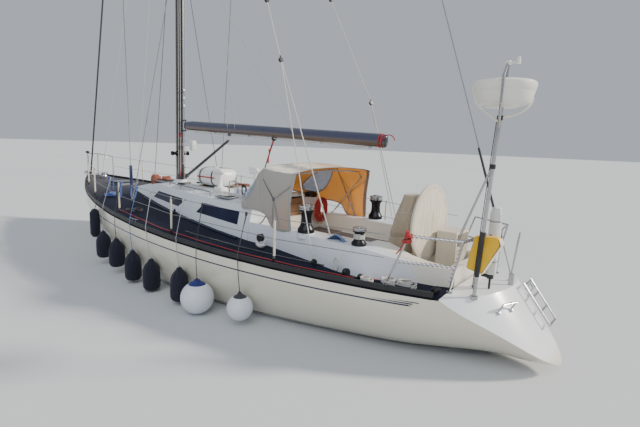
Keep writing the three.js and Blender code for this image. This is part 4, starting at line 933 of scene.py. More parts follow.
class YachtSettings(bpy.types.PropertyGroup):
    """Colours and sizes of the yacht's dress."""

    topsides: colour("Topsides", "Gelcoat of the hull's sides", (0.74, 0.7, 0.58))
    stripe: colour("Stripe", "Cove stripe and boot top", (0.012, 0.016, 0.06))
    deck_white: colour(
        "Deck white", "Gelcoat of the after deck, the transom and the cockpit", (0.84, 0.86, 0.88)
    )
    # The default dark navy is partly the teak's own dark tone, partly painted shade.
    deck_teak: colour("Deck teak", "Weathered strips of the deck", (0.011, 0.014, 0.031))
    canvas: colour("Canvas", "Cloth of the spray hood", (0.44, 0.42, 0.39))
    cover: colour("Covers", "Cloth of the wheel's and the binnacle's covers", (0.72, 0.66, 0.53))
    plank: FloatProperty(
        name="Plank", description="Width of a strip of the teak deck", unit="LENGTH", min=0.02, max=0.12,
        default=0.045
    )
    rope: FloatProperty(
        name="Rope", description="Radius of the sheets and halyards", unit="LENGTH", min=0.003, max=0.012,
        default=0.006
    )


class YachtOperator(bpy.types.Operator):
    """What the operators share."""

    bl_options = {"REGISTER", "UNDO"}


def make_stage():
    scene = bpy.context.scene
    data = bpy.data.cameras.new("camera")
    data.sensor_width = 36
    data.lens = 427 / IMAGE[0] * data.sensor_width
    data.clip_end = 400
    camera = placed("camera", data)
    yaw, pitch, roll = (radians(angle) for angle in (-50.07, 9.29, 2.125))
    ahead = xyz(cos(yaw) * cos(pitch), sin(yaw) * cos(pitch), -sin(pitch))
    right = xyz(sin(yaw), -cos(yaw), 0)
    up = right.cross(ahead)
    across = cos(roll) * right + sin(roll) * up
    upright = cos(roll) * up - sin(roll) * right
    axes = Matrix((across, upright, -ahead)).transposed().to_4x4()
    camera.matrix_world = Matrix.Translation((-1.96, 5.533, 2.639)) @ axes
    scene.camera = camera

    floor = sheet_grid(4, 4, lambda u, v: xyz((u - 0.5) * 400 + 5, (v - 0.5) * 400, 0))
    mesh = mesh_of(floor, "floor")
    paint = Finish("Floor", (0.62, 0.64, 0.66), 0.9)
    paint.mark(paint.level(paint.grain(0.05, 2), 0.3, 0.7), (0.58, 0.6, 0.62), 0.5)
    mesh.materials.append(paint.material)
    placed("floor", mesh)

    world = bpy.data.worlds.new("World")
    scene.world = world
    world.use_nodes = True
    sky = world.node_tree.nodes["Background"]
    sky.inputs["Color"].default_value = (0.74, 0.8, 0.88, 1)
    sky.inputs["Strength"].default_value = 0.62
    for name, toward, strength, size, tint in (
        ("key", (-0.66, -0.58, 0.5), 4.6, 7, (1, 0.92, 0.8)),
        ("fill", (-0.5, 0.8, 0.9), 1.1, 50, (0.9, 0.94, 1))
    ):
        lamp = bpy.data.lights.new(name, "SUN")
        lamp.energy = strength
        lamp.angle = radians(size)
        lamp.color = tint
        holder = placed(name, lamp)
        holder.rotation_mode = "QUATERNION"
        holder.rotation_quaternion = Vector(toward).to_track_quat("Z", "Y")


class YACHT_OT_stage(YachtOperator):
    """Makes the camera, the water's floor and the lights."""

    bl_idname = "yacht.stage"
    bl_label = "Stage"

    def execute(self, context):
        make_stage()
        return {"FINISHED"}


def make_hull():
    quarter = {}

    def side(u, v):
        share = 1 - min(1, abs(2 * v - 1))
        if share not in quarter:
            quarter[share] = quarter_point(share).x
        start = quarter[share]
        x = start + (STATIONS[-1][0] - start) * (1 - (1 - u) ** 1.15)
        point = side_point(x, share)
        return xyz(point.x, point.y if v < 0.5 else -point.y, point.z)

    rows = 44
    sides = sheet_grid(130, 2 * rows, side)

    def transom(u, v):
        edge = quarter_point(v)
        y = edge.y * (1 - 2 * u)
        return xyz(transom_x(y, edge.z), y, edge.z)

    lower = sheet_grid(32, rows, transom)
    crest = quarter_point(0)

    def rim(u):
        """The transom's top edge."""
        y = crest.y * (1 - 2 * u)
        z = crest.z
        for _ in range(12):
            x = transom_x(y, z)
            z = after_deck_at(x, y)
        return xyz(x, y, z)

    def upper_face(u, v):
        y = crest.y * (1 - 2 * u)
        z = crest.z + (rim(u).z - crest.z) * v
        return xyz(transom_x(y, z), y, z)

    upper = sheet_grid(32, 3, upper_face)

    def after_deck(u, v):
        start = rim(u)
        x = start.x + (DECK_END - start.x) * v
        beam = beam_at(x)
        y = beam * (1 - 2 * u) if v > 0 else start.y
        return xyz(x, y, after_deck_at(x, y))

    deck = sheet_grid(32, 12, after_deck)
    for part, index in ((sides, 0), (lower, 1), (upper, 1), (deck, 1)):
        for face in part.faces:
            face.material_index = index
    shell = joined(sides, lower, upper, deck)
    merge(shell, 0.004)
    face_out(shell)
    drop = shell.verts.layers.float.new("below_sheer")
    for vert in shell.verts:
        vert[drop] = spline(STATIONS, vert.co.x, 2) - vert.co.z
    piece = dress(
        "hull_skin", shell, ["Topsides", "White gelcoat"], covers=["hull"], closed=False
    )
    give_wall(piece, "Wall", 0.012)
    paint_nodes("Antifouling", "keel", "rudder")
    paint_nodes("Anodised", "saildrive_leg")
    paint_nodes("Bronze", "propeller")


class YACHT_OT_hull(YachtOperator):
    """Makes the hull's smooth skin, its transom and the after deck, and paints what is under water."""

    bl_idname = "yacht.hull"
    bl_label = "Hull"

    def execute(self, context):
        make_hull()
        return {"FINISHED"}


def make_deck():
    deck = copy_of("teak_deck")
    plank = deck.verts.layers.float.new("plank")
    for vert in deck.verts:
        vert[plank] = chord(STATIONS, vert.co.x, 1) - abs(vert.co.y)

    dress("deck_planks", deck, "Weathered teak", covers=["teak_deck"])
    rounded_copy("toe_rail_port", "Toe rail")
    rounded_copy("toe_rail_starboard", "Toe rail")

    run = [x / 4 for x in range(14, 32)]
    shapes = []
    for side in (1, -1):
        points = [xyz(x, side * (chord(COACHROOF, x, 1) + 0.09), 0) for x in run]
        for point in points:
            point.z = deck_at(point.x, point.y) + 0.012
        shapes += [line(points, 0.015, bend=False, sides=8)]
        car = points[len(points) // 2]
        shapes += [
            block(car - xyz(0.07, 0.028, 0.012), car + xyz(0.07, 0.028, 0.035), 0.008),
            ball(car + xyz(0, 0, 0.065), 0.035, (1, 0.5, 1))
        ]
    dress("genoa_tracks", shapes, "Track")


class YACHT_OT_deck(YachtOperator):
    """Makes the teak deck with its sprung planks, the toe rails and the tracks along the side decks."""

    bl_idname = "yacht.deck"
    bl_label = "Deck"

    def execute(self, context):
        make_deck()
        return {"FINISHED"}


def make_coachroof():
    rounded_copy("coachroof", "Coachroof white", bevel=0.02, angle=20)
    rounded_copy("companion_slide", "Coachroof white", "slide", 0.008)
    rounded_copy("washboard", "Oiled teak")
    for node in sorted(name for name in NODES if name.startswith("window_")):
        window = copy_of(node)
        bmesh.ops.dissolve_limit(window, angle_limit=radians(6), verts=window.verts, edges=window.edges)
        outward = 1 if "port" in node else -1
        outer = [f for f in window.faces if f.normal.y * outward > 0.6]
        inset = bmesh.ops.inset_region(window, faces=outer, thickness=0.016, depth=0)
        for face in inset["faces"]:
            face.material_index = 1
        bmesh.ops.inset_region(window, faces=outer, thickness=0.004, depth=-0.004)
        dress(f"{node}_pane", window, ["Window", "Window frame"], covers=[node], angle=20)
    rounded_copy("fore_hatch_frame", "Hatch frame", bevel=0.003)
    rounded_copy("fore_hatch", "Smoked acrylic", "fore_hatch_lid", 0.006)
    small = []
    glaze = []
    for side in (1, -1):
        low, high = sorted((side * 0.53, side * 0.83))
        small += [block((4.12, low, 1.607), (4.52, high, 1.632), 0.008)]
        glaze += [block((4.17, low + 0.04, 1.622), (4.47, high - 0.04, 1.64), 0.006)]
    small += [block((7.18, -0.27, 1.6), (7.66, 0.27, 1.64), 0.01)]
    glaze += [block((7.22, -0.22, 1.625), (7.62, 0.22, 1.652), 0.008)]
    dress("deck_light_frames", small, "Hatch frame")
    dress("deck_lights", glaze, "Smoked acrylic")


class YACHT_OT_coachroof(YachtOperator):
    """Makes the coachroof, its windows with their frames, the hatches and the companionway."""

    bl_idname = "yacht.coachroof"
    bl_label = "Coachroof"

    def execute(self, context):
        make_coachroof()
        return {"FINISHED"}


def make_cockpit():
    rounded_copy("cockpit_moulding", "Cockpit white", bevel=0.012)
    for side in ("port", "starboard"):
        rounded_copy(f"locker_{side}", "Bench teak", f"locker_lid_{side}", 0.004)
    pads = []
    for side in (1, -1):
        for x0, x1 in ((1.2, 1.485), (2.715, 3.26)):
            low, high = sorted((side * 0.385, side * 0.71))
            pads += [block((x0, low, 1.0405), (x1, high, 1.05), 0.003)]
    pads += [
        block((1.19, -0.345, 0.6805), (3.26, 0.345, 0.69), 0.003),
        block((0.12, -0.488, 0.7805), (0.262, 0.488, 0.79), 0.003),
        block((0.565, -0.488, 0.7805), (0.95, 0.488, 0.79), 0.003)
    ]
    dress("cockpit_teak", pads, "Bench teak")

    rounded_copy("helm_box", "Helm box", bevel=0.014)
    dress("helm_panel", block((0.262, -0.45, 1.3), (0.2695, -0.1, 1.47), 0.003), "Helm panel")
    bottle = turned(
        [(0, 0.795), (0.045, 0.795), (0.045, 0.96), (0.032, 1), (0.02, 1.03), (0.02, 1.07), (0, 1.07)],
        (0.2, -0.24, 0), steps=20
    )
    dress("bottle", bottle, "Bottle")
    winches()


WINCH_WAIST = [
    (1, 0), (1, 0.1), (0.93, 0.14), (0.72, 0.24), (0.64, 0.34), (0.61, 0.5), (0.64, 0.62), (0.74, 0.7),
    (0.9, 0.73), (0.9, 0.77), (0.3, 0.77)
]
WINCH_TOP = [
    (0.3, 0.775), (0.8, 0.775), (0.92, 0.8), (0.92, 0.83), (0.78, 0.85), (0.78, 0.88), (0.93, 0.9),
    (0.93, 0.94), (0.8, 0.965), (0.42, 0.975), (0.4, 1), (0.16, 1), (0.14, 0.96)
]


def winches():
    for kind, x, off, radius, high in (
        ("primary", 1.15, 1, 0.1, 0.24), ("secondary", 2.15, 0.93, 0.125, 0.42)
    ):
        for side, hand in ((1, "port"), (-1, "starboard")):
            y = side * off
            foot = (x, y, 1.35)
            profile = [
                (radius * 0.25, 0), *((radius * r, high * h) for r, h in WINCH_WAIST),
                (radius * 0.25, high * 0.77)
            ]
            body = turned([*profile, profile[0]], foot, steps=36)
            rings = turned(
                [*((radius * r, high * h) for r, h in WINCH_TOP), (0, high * 0.96)], foot, steps=36
            )
            node = f"winch_{kind}_{hand}"
            ride = f"drum_{kind}_{hand}"
            dress(f"{node}_drum", body, "Winch drum", ride, [node])
            dress(f"{node}_top", rings, "Winch top", ride)
            arm = block(
                (x, y - 0.014, 1.35 + high * 0.8), (x + radius * 0.98, y + 0.014, 1.35 + high * 0.86), 0.005
            )
            dress(f"{node}_feeder", arm, "Winch top", ride)


class YACHT_OT_cockpit(YachtOperator):
    """Makes the cockpit moulding, its teak, the lockers, the helm box and the winches."""

    bl_idname = "yacht.cockpit"
    bl_label = "Cockpit"

    def execute(self, context):
        make_cockpit()
        return {"FINISHED"}


SHROUD_FOOT = (6.99, 1.155)
QUARTER_RAIL_HEADS = [(0.4, 1.06, 1.6), (-0.16, 0.82, 1.59), (-0.21, 0.41, 1.585)]
QUARTER_RAIL_FEET = [(0.64, 1.14), (-0.04, 0.8), (-0.19, 0.41)]


def lines(name, finish, radius, runs, body="yacht", bend=False):
    """One piece of several round lines."""
    shapes = [line(run, radius, bend) for run in runs]
    return dress(name, shapes, finish, body=body)


def wound(a, b, radius, pitch):
    """Points of a line wound round a straight tube."""
    a, b = Vector(a), Vector(b)
    turn = (b - a).to_track_quat("Z", "Y").to_matrix()
    steps = max(8, round(8 * (b - a).length / pitch))
    return [
        a.lerp(b, i / steps) + turn @ xyz(cos(i * pi / 4), sin(i * pi / 4), 0) * radius
        for i in range(steps + 1)
    ]


def make_spars():
    rounded_copy("mast", "Carbon", bevel=0, angle=30)
    rounded_copy("boom", "Boom paint", "boom", bevel=0, angle=30)
    rounded_copy("vang", "Carbon", "boom", bevel=0, angle=30)
    paint_nodes("Rigging wire", "shrouds_port", "shrouds_starboard", "backstay")
    paint_nodes("Dark wire", "forestay", "babystay")
    mast_fittings()
    boom_fittings()
    stay_fittings()


def mast_fittings():
    low, high = 2.05, 20.95
    track = line([(mast_x(z) - 0.13, 0, z) for z in (low, high)], 0.013, bend=False)
    cars = [
        block((mast_x(z) - 0.166, -0.022, z - 0.035), (mast_x(z) - 0.128, 0.022, z + 0.035), 0.006)
        for z in (3.35, 3.52, 3.69)
    ]
    collar = rod((MAST["x"], 0, 1.6), (MAST["x"], 0, 1.7), 0.165, 32, 0.14)
    dress("mast_track", [track, *cars], "Anodised")
    dress("mast_collar", collar, "Mast boot")
    case = block((6.38, -0.055, 2.385), (6.5, 0.055, 2.6), 0.014)
    arm = block((6.48, -0.016, 2.47), (mast_x(2.5) - 0.09, 0.016, 2.53), 0.006)
    brace = rod((6.52, 0, 2.6), (mast_x(2.66) - 0.09, 0, 2.66), 0.012)
    dress("mast_bracket", [case, arm, brace], "Mast boot")
    winches = []
    for side in (1, -1):
        foot = (mast_x(2.3), side * 0.072, 2.3)
        profile = [
            (0, 0), (0.058, 0), (0.058, 0.02), (0.04, 0.04), (0.036, 0.09), (0.05, 0.11), (0.05, 0.14)
        ]
        winches += [turned([*profile, (0, 0.145)], foot, (0, side, 0), 24)]
    dress("mast_winches", winches, "Winch drum")


def boom_fittings():
    cap = ball((BOOM["aft"], 0, boom_z(BOOM["aft"])), 0.055, (0.45, 1, 1.72), 20)
    strip = line([(x, 0, boom_z(x) + 0.097) for x in (6.5, 1.5)], 0.012, bend=False)
    dress("boom_end", cap, "Carbon", "boom")
    eyes = [
        block((x - 0.03, -0.014, boom_z(x) - 0.125), (x + 0.03, 0.014, boom_z(x) - 0.085), 0.006)
        for x in (5.62, 4.55, 3.84, 2.7, 1.72)
    ]
    dress("boom_track", [strip, *eyes], "Anodised", "boom")


def stay_fittings():
    x, y = SHROUD_FOOT
    shapes = []
    for side in (1, -1):
        z = deck_at(x, y) + 0.16
        for foot, head in (
            ((x, side * y, z), (mast_x(6.79) - 0.12, side * 1.338, 6.83)),
            ((x - 0.03, side * y, z), (mast_x(6.73), side * 0.051, 6.73))
        ):
            start = Vector(foot)
            run = (Vector(head) - start).normalized()
            shapes += [
                rod(start, start + run * 0.34, 0.015), rod(start + run * 0.06, start + run * 0.26, 0.021)
            ]
    dress("turnbuckles", shapes, "Polished tube")
    low, high = box_of("backstay")
    foot = xyz(low.x, (low.y + high.y) / 2, low.z)
    head = xyz(high.x, (low.y + high.y) / 2, high.z)
    top = foot.lerp(head, (2.66 - foot.z) / (head.z - foot.z))
    start = foot.lerp(head, (1.45 - foot.z) / (head.z - foot.z))
    dress("backstay_tensioner", rod(start, top, 0.016, 14), "Carbon")
    foot = xyz(x, y, deck_at(x, y) + 0.1)
    head = xyz(mast_x(6.79) - 0.12, 1.338, 6.83)
    run = (head - foot).normalized()
    dress("stay_sleeve", rod(foot + run * 0.24, foot + run * 0.78, 0.034, 14, 0.031), "Navy cloth")


class YACHT_OT_spars(YachtOperator):
    """Finishes the mast, the boom, the vang and the stays, with their fittings."""

    bl_idname = "yacht.spars"
    bl_label = "Spars"

    def execute(self, context):
        make_spars()
        return {"FINISHED"}


def make_running_rigging():
    thick = settings().rope
    halyards = [
        [(11.2, 0, 1.42), (mast_x(11.8) + 0.12, 0, 11.8)], [(9.02, 0, 1.42), (mast_x(12.5) + 0.12, 0, 12.5)]
    ]
    for i, (ahead, side, top) in enumerate((
        (-0.115, 0.062, 19.6), (-0.075, 0.084, 16.2), (-0.085, -0.08, 20.6), (0.02, 0.094, 12.4)
    )):
        halyards += [[(mast_x(z) + ahead, side, z) for z in (1.78 + 0.05 * i, top)]]
    lines("halyards", "White rope", thick, halyards)
    jacks = []
    for side in (0.1, -0.1):
        jacks += [
            [(5.12, side * 0.6, 2.86), (5.58, side * 2.4, 5.39), (mast_x(8.2), side, 8.2)],
            [(4.89, side * 0.6, 2.85), (5.18, side * 2.4, 5.32), (mast_x(7.9), side, 7.9)],
            [(3.3, side * 0.6, 2.8), (5.18, side * 2.4, 5.32)]
        ]
    hung = lines("lazy_jacks", "Grey rope", 0.004, jacks, None)
    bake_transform(hung)
    runners()
    sheets(thick)


def runners():
    runs, blocks = [], []
    for foot, second, lower, upper in (
        ((1.7, 1.25, 0.985), (1.54, 0.92, 1), (2.78, 0.9, 3.84), (3.27, 0.75, 4.79)),
        ((1.85, -1.2, 0.985), (1.6, -0.95, 1), (2.35, -0.9, 3.37), (3.19, -0.7, 5.16))
    ):
        side = copysign(0.05, foot[1])
        runs += [[foot, lower], [second, lower], [lower, upper], [upper, (mast_x(16.3), side, 16.3)]]
        blocks += [pulley(place, 0.075, (0.3, 0, 1)) for place in (lower, upper)]
        blocks += [pulley(Vector(place) + xyz(0, 0, 0.06), 0.085, (0, 0, -1)) for place in (foot, second)]
    lines("runners", "White rope", 0.0085, runs)
    dress("runner_blocks", blocks, "Block")


def sheets(thick):
    fall = [
        [(3.8, 0.012, 2.72), (4.02, 0.02, 2.2), (4.19, 0.02, 1.77)],
        [(3.86, -0.012, 2.72), (4.08, -0.02, 2.2), (4.23, -0.02, 1.77)],
        [(3.83, 0, 2.72), (4.06, 0, 2.2), (4.21, 0, 1.77)]
    ]
    sheet = lines("mainsheet", "Flecked rope", thick, fall, None)
    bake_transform(sheet)
    blocks = [pulley((3.84, 0, 2.7), 0.09, (0, 0, 1))]
    dress("boom_blocks", blocks, "Block", "boom")
    low = [pulley((4.21, 0, 1.8), 0.09, (0, 0, -1)), block((4.12, -0.05, 1.745), (4.3, 0.05, 1.757), 0.004)]
    dress("deck_blocks", low, "Block")
    under = []
    for y in (0.03, -0.03):
        stops = [6.45, 5.62, 4.55, 3.84, 2.7, 1.72]
        for a, b in zip(stops, stops[1:]):
            under += [sagging((a, y, boom_z(a) - 0.1), (b, y, boom_z(b) - 0.1), 0.035 + 0.4 * y)]
    lines("boom_lines", "White rope", 0.005, under, "boom", True)
    red = [
        [(3.905 + dx, 0.03 + dy, 2.5), (3.95 - dx, 0.02 - dy, 2.38), (4 + dx, dy, 2.24)]
        for dx, dy in ((0.014, 0.018), (-0.016, 0), (0, -0.018), (0.022, 0.01), (-0.01, -0.012))
    ]
    red += [[(3.84, 0, 2.7), (3.905, 0.03, 2.5)]]
    guard = lines("preventer", "Red rope", 0.011, red, None, True)
    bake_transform(guard)
    turns = [coil((1.49 + 0.05 * i, 0, boom_z(1.5)), 0.07, 2, 0.006, (1, 0, 0), 1.45, i) for i in range(2)]
    tails = [line([(1.5, 0.06, 2.7), (1.4, 0.08, 2.84), (1.28, 0.09, 2.82), (1.25, 0.08, 2.72)], 0.008)]
    dress("boom_lashing", [*turns, *tails], "Red rope", "boom")
    knot = [coil((mast_x(2.72) - 0.09, 0.05, 2.72), 0.05, 3, 0.006, (0, 1, 0), 1, 4)]
    down = line([(mast_x(2.72) - 0.12, 0.05, 2.78), (6.72, 0.09, 2.3), (6.8, 0.1, 1.78)], 0.006)
    dress("mast_tail", [*knot, down], "Red rope")


class YACHT_OT_running_rigging(YachtOperator):
    """Hangs the halyards, the lazy jacks, the runners and the sheets."""

    bl_idname = "yacht.running_rigging"
    bl_label = "Running rigging"

    def execute(self, context):
        make_running_rigging()
        return {"FINISHED"}


def make_rails():
    paint_nodes(
        "Polished tube", "lifelines_port", "lifelines_starboard", "pulpit", "pushpit_port",
        "pushpit_starboard"
    )
    sleeves = []
    for x in STANCHIONS:
        foot, head = wire_at(x, 0.14), wire_at(x, 0.93)
        sleeve = rod(foot, head, 0.0175, 14, 0.016)
        sleeves += [mirrored(sleeve), sleeve]
    dress("stanchion_sleeves", sleeves, "Sleeve")
    pushpit_lashings()
    pulpit_fittings()


def pushpit_lashings():
    middles = [
        ((f[0] + h[0]) / 2, (f[1] + h[1]) / 2, (deck_at(*f) + h[2]) / 2)
        for f, h in zip(QUARTER_RAIL_FEET[:2], QUARTER_RAIL_HEADS[:2])
    ]
    fore, corner, aft = QUARTER_RAIL_HEADS
    foot = QUARTER_RAIL_FEET[1]
    wraps = [
        wound(fore, corner, 0.019, 0.055), wound(corner, aft, 0.019, 0.055), wound(*middles, 0.017, 0.055),
        wound((*foot, deck_at(*foot) + 0.12), corner, 0.019, 0.05)
    ]
    lines("pushpit_wrapping", "Grey rope", 0.006, wraps, bend=True)
    head = Vector(fore)
    knots = [
        coil(head + xyz(dx, dy, dz), 0.045, 3, 0.008, facing, 1.2, seed)
        for dx, dy, dz, facing, seed in (
            (0, 0, -0.02, (0, 0, 1), 1), (0.01, 0.01, -0.08, (0.2, 0.2, 1), 2), (0, 0, 0.01, (1, 0.4, 0), 3)
        )
    ]
    tail = line(sagging(head, head + xyz(0.14, 0.03, -0.24), 0.02), 0.009)
    dress("rail_knot", [*knots, tail], "Red rope")


def pulpit_fittings():
    nose = xyz(12.12, 0, 2.073)
    lamp = block(nose + xyz(-0.05, -0.045, 0.012), nose + xyz(0.03, 0.045, 0.085), 0.012)
    dress("bow_lamp", lamp, "Block")
    pane = block(nose + xyz(-0.035, 0.04, 0.022), nose + xyz(0.015, 0.05, 0.075), 0.004)
    dress("bow_lamp_lens", pane, "Lamp lens")
    bell = turned(
        [(0, 0), (0.055, 0), (0.05, 0.03), (0.03, 0.07), (0.012, 0.09), (0, 0.09)], (11.7, -0.37, 1.97)
    )
    dress("lifebuoy_lamp", bell, "Canister")


class YACHT_OT_rails(YachtOperator):
    """Finishes the rails and wraps their sleeves and lashings."""

    bl_idname = "yacht.rails"
    bl_label = "Rails"

    def execute(self, context):
        make_rails()
        return {"FINISHED"}


LANYARD_TOPS = [7.22, 6.55, 5.82, 5.25, 4.22, 3.75, 2.79]
FENDER_PROFILE = [
    (0, 0.45), (0.012, 0.62), (0.05, 0.84), (0.13, 0.98), (0.25, 1), (0.55, 1), (0.7, 0.93), (0.8, 0.8),
    (0.88, 0.62), (0.94, 0.44), (0.98, 0.32)
]


def make_fenders():
    for i in range(1, 8):
        low, high = box_of(f"fender_{i}")
        radius, half = ((0.145, 0.265), (0.25, 0.25), (0.19, 0.19))[max(0, i - 5)]
        at = xyz((low.x + high.x) / 2, high.y - radius, low.z)
        if i < 6:
            long_fender(i, at, radius, half)
        else:
            ball_fender(i, at, radius)
        lanyard(i, at, 2 * half)
    bow_fender()


def long_fender(i, at, radius, half):
    dice = random.Random(i)
    high = 2 * half
    profile = [
        (0, 0), *((radius * r, high * t) for t, r in FENDER_PROFILE), (radius * 0.24, high + 0.02),
        (0, high + 0.03)
    ]
    shape = turned(profile, at, steps=40)
    bmesh.ops.subdivide_edges(
        shape, edges=[e for e in shape.edges if abs(e.verts[0].co.z - e.verts[1].co.z) > 0.05], cuts=6
    )
    phase = dice.uniform(0, 6)
    for vert in shape.verts:
        reach = vert.co - at
        angle = atan2(reach.y, reach.x)
        t = reach.z / high
        fold = 0.11 * max(0, t - 0.62) / 0.38 * cos(9 * angle + phase)
        fold += 0.035 * max(0, 0.12 - t) / 0.12 * cos(7 * angle)
        dent = 0.012 * sin(3 * angle + phase + 4 * t)
        vert.co.x += reach.x * (fold + dent)
        vert.co.y += reach.y * (fold + dent)
    dress(f"fender_{i}_cover", shape, "Fender cover", covers=[f"fender_{i}"], angle=60)


def ball_fender(i, at, radius):
    centre = at + xyz(0, 0, radius)
    rings = [(radius * sin(a), -radius * cos(a)) for a in (pi * k / 20 for k in range(0, 17))]
    body = turned(
        [(0, -radius), *rings[1:], (radius * 0.3, radius * 0.93), (0, radius * 0.95)], centre, steps=48
    )
    dress(f"fender_{i}_ball", body, "Fender vinyl", covers=[f"fender_{i}"], angle=60)
    cap = [(radius * 0.56, 0.8), (radius * 0.45, 0.9), (radius * 0.24, 1), (radius * 0.17, 1.12)]
    profile = [(r, radius * h) for r, h in cap]
    top = turned([(0, radius * 0.78), *profile, (0, radius * 1.15)], centre, steps=32)
    dress(f"fender_{i}_cap", top, f"Fender cap {i}", angle=60)


def lanyard(i, at, high):
    black = "Black rope" if i in (2, 6, 7) else "Blue rope" if i == 3 else "Grey rope"
    wire = wire_at(LANYARD_TOPS[i - 1], 0.97)
    top = at + xyz(0, 0, high)
    middle = (at.x + wire.x) / 2
    rail = xyz(middle, chord(STATIONS, middle, 1) + 0.028, chord(STATIONS, middle, 2) + TEAK + 0.068)
    run = [top, top.lerp(rail, 0.5) + xyz(0, 0.01, 0), rail, wire + xyz(0, 0.012, 0)]
    knots = [
        coil(wire + xyz(0, 0.004, -0.012 * k), 0.016, 2, 0.006, (1, 0.1 * k, 0), 1, i + k) for k in range(3)
    ]
    tail = line(sagging(wire, wire + xyz(0.05, 0.02, -0.2), 0.01), 0.006)
    loop = coil(top + xyz(0, 0, 0.02), 0.022, 2, 0.006, (1, 0, 0), 1.3, i)
    dress(f"fender_{i}_lanyard", [line(run, 0.006, False), *knots, tail, loop], black)


def bow_fender():
    """A long, dark fender that hangs from the rail ahead of the others."""
    x, radius, low, high = 7.62, 0.1, 0.46, 1.06
    y = chord(STATIONS, x, 1) + radius - 0.02
    profile = [
        (0, low), (radius * 0.6, low), (radius, low + 0.07), (radius, high - 0.07), (radius * 0.5, high)
    ]
    body = turned([*profile, (0, high + 0.02)], (x, y, 0), steps=32)
    dress("fender_bow", body, "Fender cover", angle=60)
    wire = wire_at(x, 0.52)
    edge = xyz(x, chord(STATIONS, x, 1) + 0.02, chord(STATIONS, x, 2) + TEAK + 0.07)
    lines("fender_bow_lanyard", "Black rope", 0.007, [[(x, y, high), edge, wire]])


class YACHT_OT_fenders(YachtOperator):
    """Makes the fenders along the port side with their lanyards."""

    bl_idname = "yacht.fenders"
    bl_label = "Fenders"

    def execute(self, context):
        make_fenders()
        return {"FINISHED"}


HOOD_NET = [
    [
        (2.4, 0.985, 1.28), (2.42, 1, 1.75), (2.36, 0.97, 2.13), (2.36, 0.92, 2.2), (2.4, 0.5, 2.245),
        (2.42, 0, 2.26)
    ],
    [
        (2.8, 0.985, 1.31), (2.78, 1, 1.75), (2.74, 0.975, 2.13), (2.7, 0.92, 2.21), (2.72, 0.5, 2.255),
        (2.72, 0, 2.27)
    ],
    [
        (2.99, 0.985, 1.5), (3.1, 0.99, 1.78), (3.08, 0.975, 2.12), (3.06, 0.91, 2.235), (3.04, 0.5, 2.28),
        (3.04, 0, 2.295)
    ],
    [
        (3.33, 0.98, 1.55), (3.45, 0.96, 1.63), (3.42, 0.93, 1.85), (3.4, 0.84, 2), (3.5, 0.48, 2.06),
        (3.55, 0, 2.08)
    ],
    [
        (3.59, 0.95, 1.53), (3.6, 0.93, 1.63), (3.75, 0.8, 1.65), (3.9, 0.7, 1.67), (4, 0.46, 1.74),
        (4.02, 0, 1.76)
    ],
]
HOOD_WINDOWS = {
    "across": (0.25, 0.75), "along": 0.7625, "half_across": 0.1, "half_along": 0.16, "square": 2.5
}


def hood_surface():
    return net_surface([
        [*map(Vector, row), *(xyz(x, -y, z) for x, y, z in row[-2::-1])] for row in HOOD_NET
    ])


def window_reach(u, v, centre):
    """How far a place lies from a hood window's middle, 1 on its edge."""
    w = HOOD_WINDOWS
    across = abs(u - centre) / w["half_across"]
    along = abs(v - w["along"]) / w["half_along"]
    return (across ** w["square"] + along ** w["square"]) ** (1 / w["square"])


def window_place(middle, reach, angle):
    """The place in a hood window that lies in a direction, at a share of the way to its edge."""
    w = HOOD_WINDOWS
    c, s = squarish(angle, w["square"])
    return middle + w["half_across"] * reach * c, w["along"] + w["half_along"] * reach * s


def window_path(middle, reach, steps=48):
    """Places round a hood window's edge."""
    return [window_place(middle, reach, 2 * pi * i / steps) for i in range(steps + 1)]


def make_spray_hood():
    surface = hood_surface()
    trims = [hood_films(surface), *hood_trim(surface)]
    canopy = hood_canopy(surface)
    paint_nodes("Polished tube", "dodger_frame")


def hood_canopy(surface):
    canopy = sheet_grid(130, 78, lambda u, v: xyz(u, v, 0))
    inside = [
        face for face in canopy.faces
        if any(
            all(window_reach(v.co.x, v.co.y, middle) < 1 for v in face.verts)
            for middle in HOOD_WINDOWS["across"]
        )
    ]
    bmesh.ops.delete(canopy, geom=inside, context="FACES")
    w = HOOD_WINDOWS
    for vert in canopy.verts:
        if not vert.is_boundary or not 0.02 < vert.co.y < 0.98 or not 0.02 < vert.co.x < 0.98:
            continue
        middle = min(w["across"], key=lambda across: abs(vert.co.x - across))
        reach = window_reach(vert.co.x, vert.co.y, middle)
        vert.co.x = middle + (vert.co.x - middle) / reach
        vert.co.y = w["along"] + (vert.co.y - w["along"]) / reach
    seam = canopy.verts.layers.float.new("seam")
    for vert in canopy.verts:
        u, v = vert.co.x, vert.co.y
        edges = [abs(v - 0.25) * 1.3, abs(v - 0.5) * 1.3]
        edges += [abs(window_reach(u, v, middle) - 1.1) * 0.36 for middle in w["across"]]
        vert[seam] = min(edges)
        sag = hood_sag(u, v)
        vert.co = surface(u, v) - outward(surface, u, v) * sag
    piece = dress("spray_hood", canopy, "Canvas", covers=["dodger_canopy"], angle=70)
    give_wall(piece, "Cloth", 0.003)
    return piece


def hood_sag(u, v):
    """How far the cloth hangs in between its bows, with creases that run to the straps."""
    bay = sin(pi * ((4 * v) % 1)) ** 2
    roof = max(0, min(1, (u - 0.26) / 0.1)) * max(0, min(1, (0.74 - u) / 0.1))
    crease = 0.004 * sin(38 * (u + 0.6 * v)) * sin(9 * v + 4 * u)
    edge = exp(-(((min(u, 1 - u) - 0.27) / 0.035) ** 2))
    return bay * (0.02 * roof + 0.022 * edge * (v < 0.5)) + crease * bay


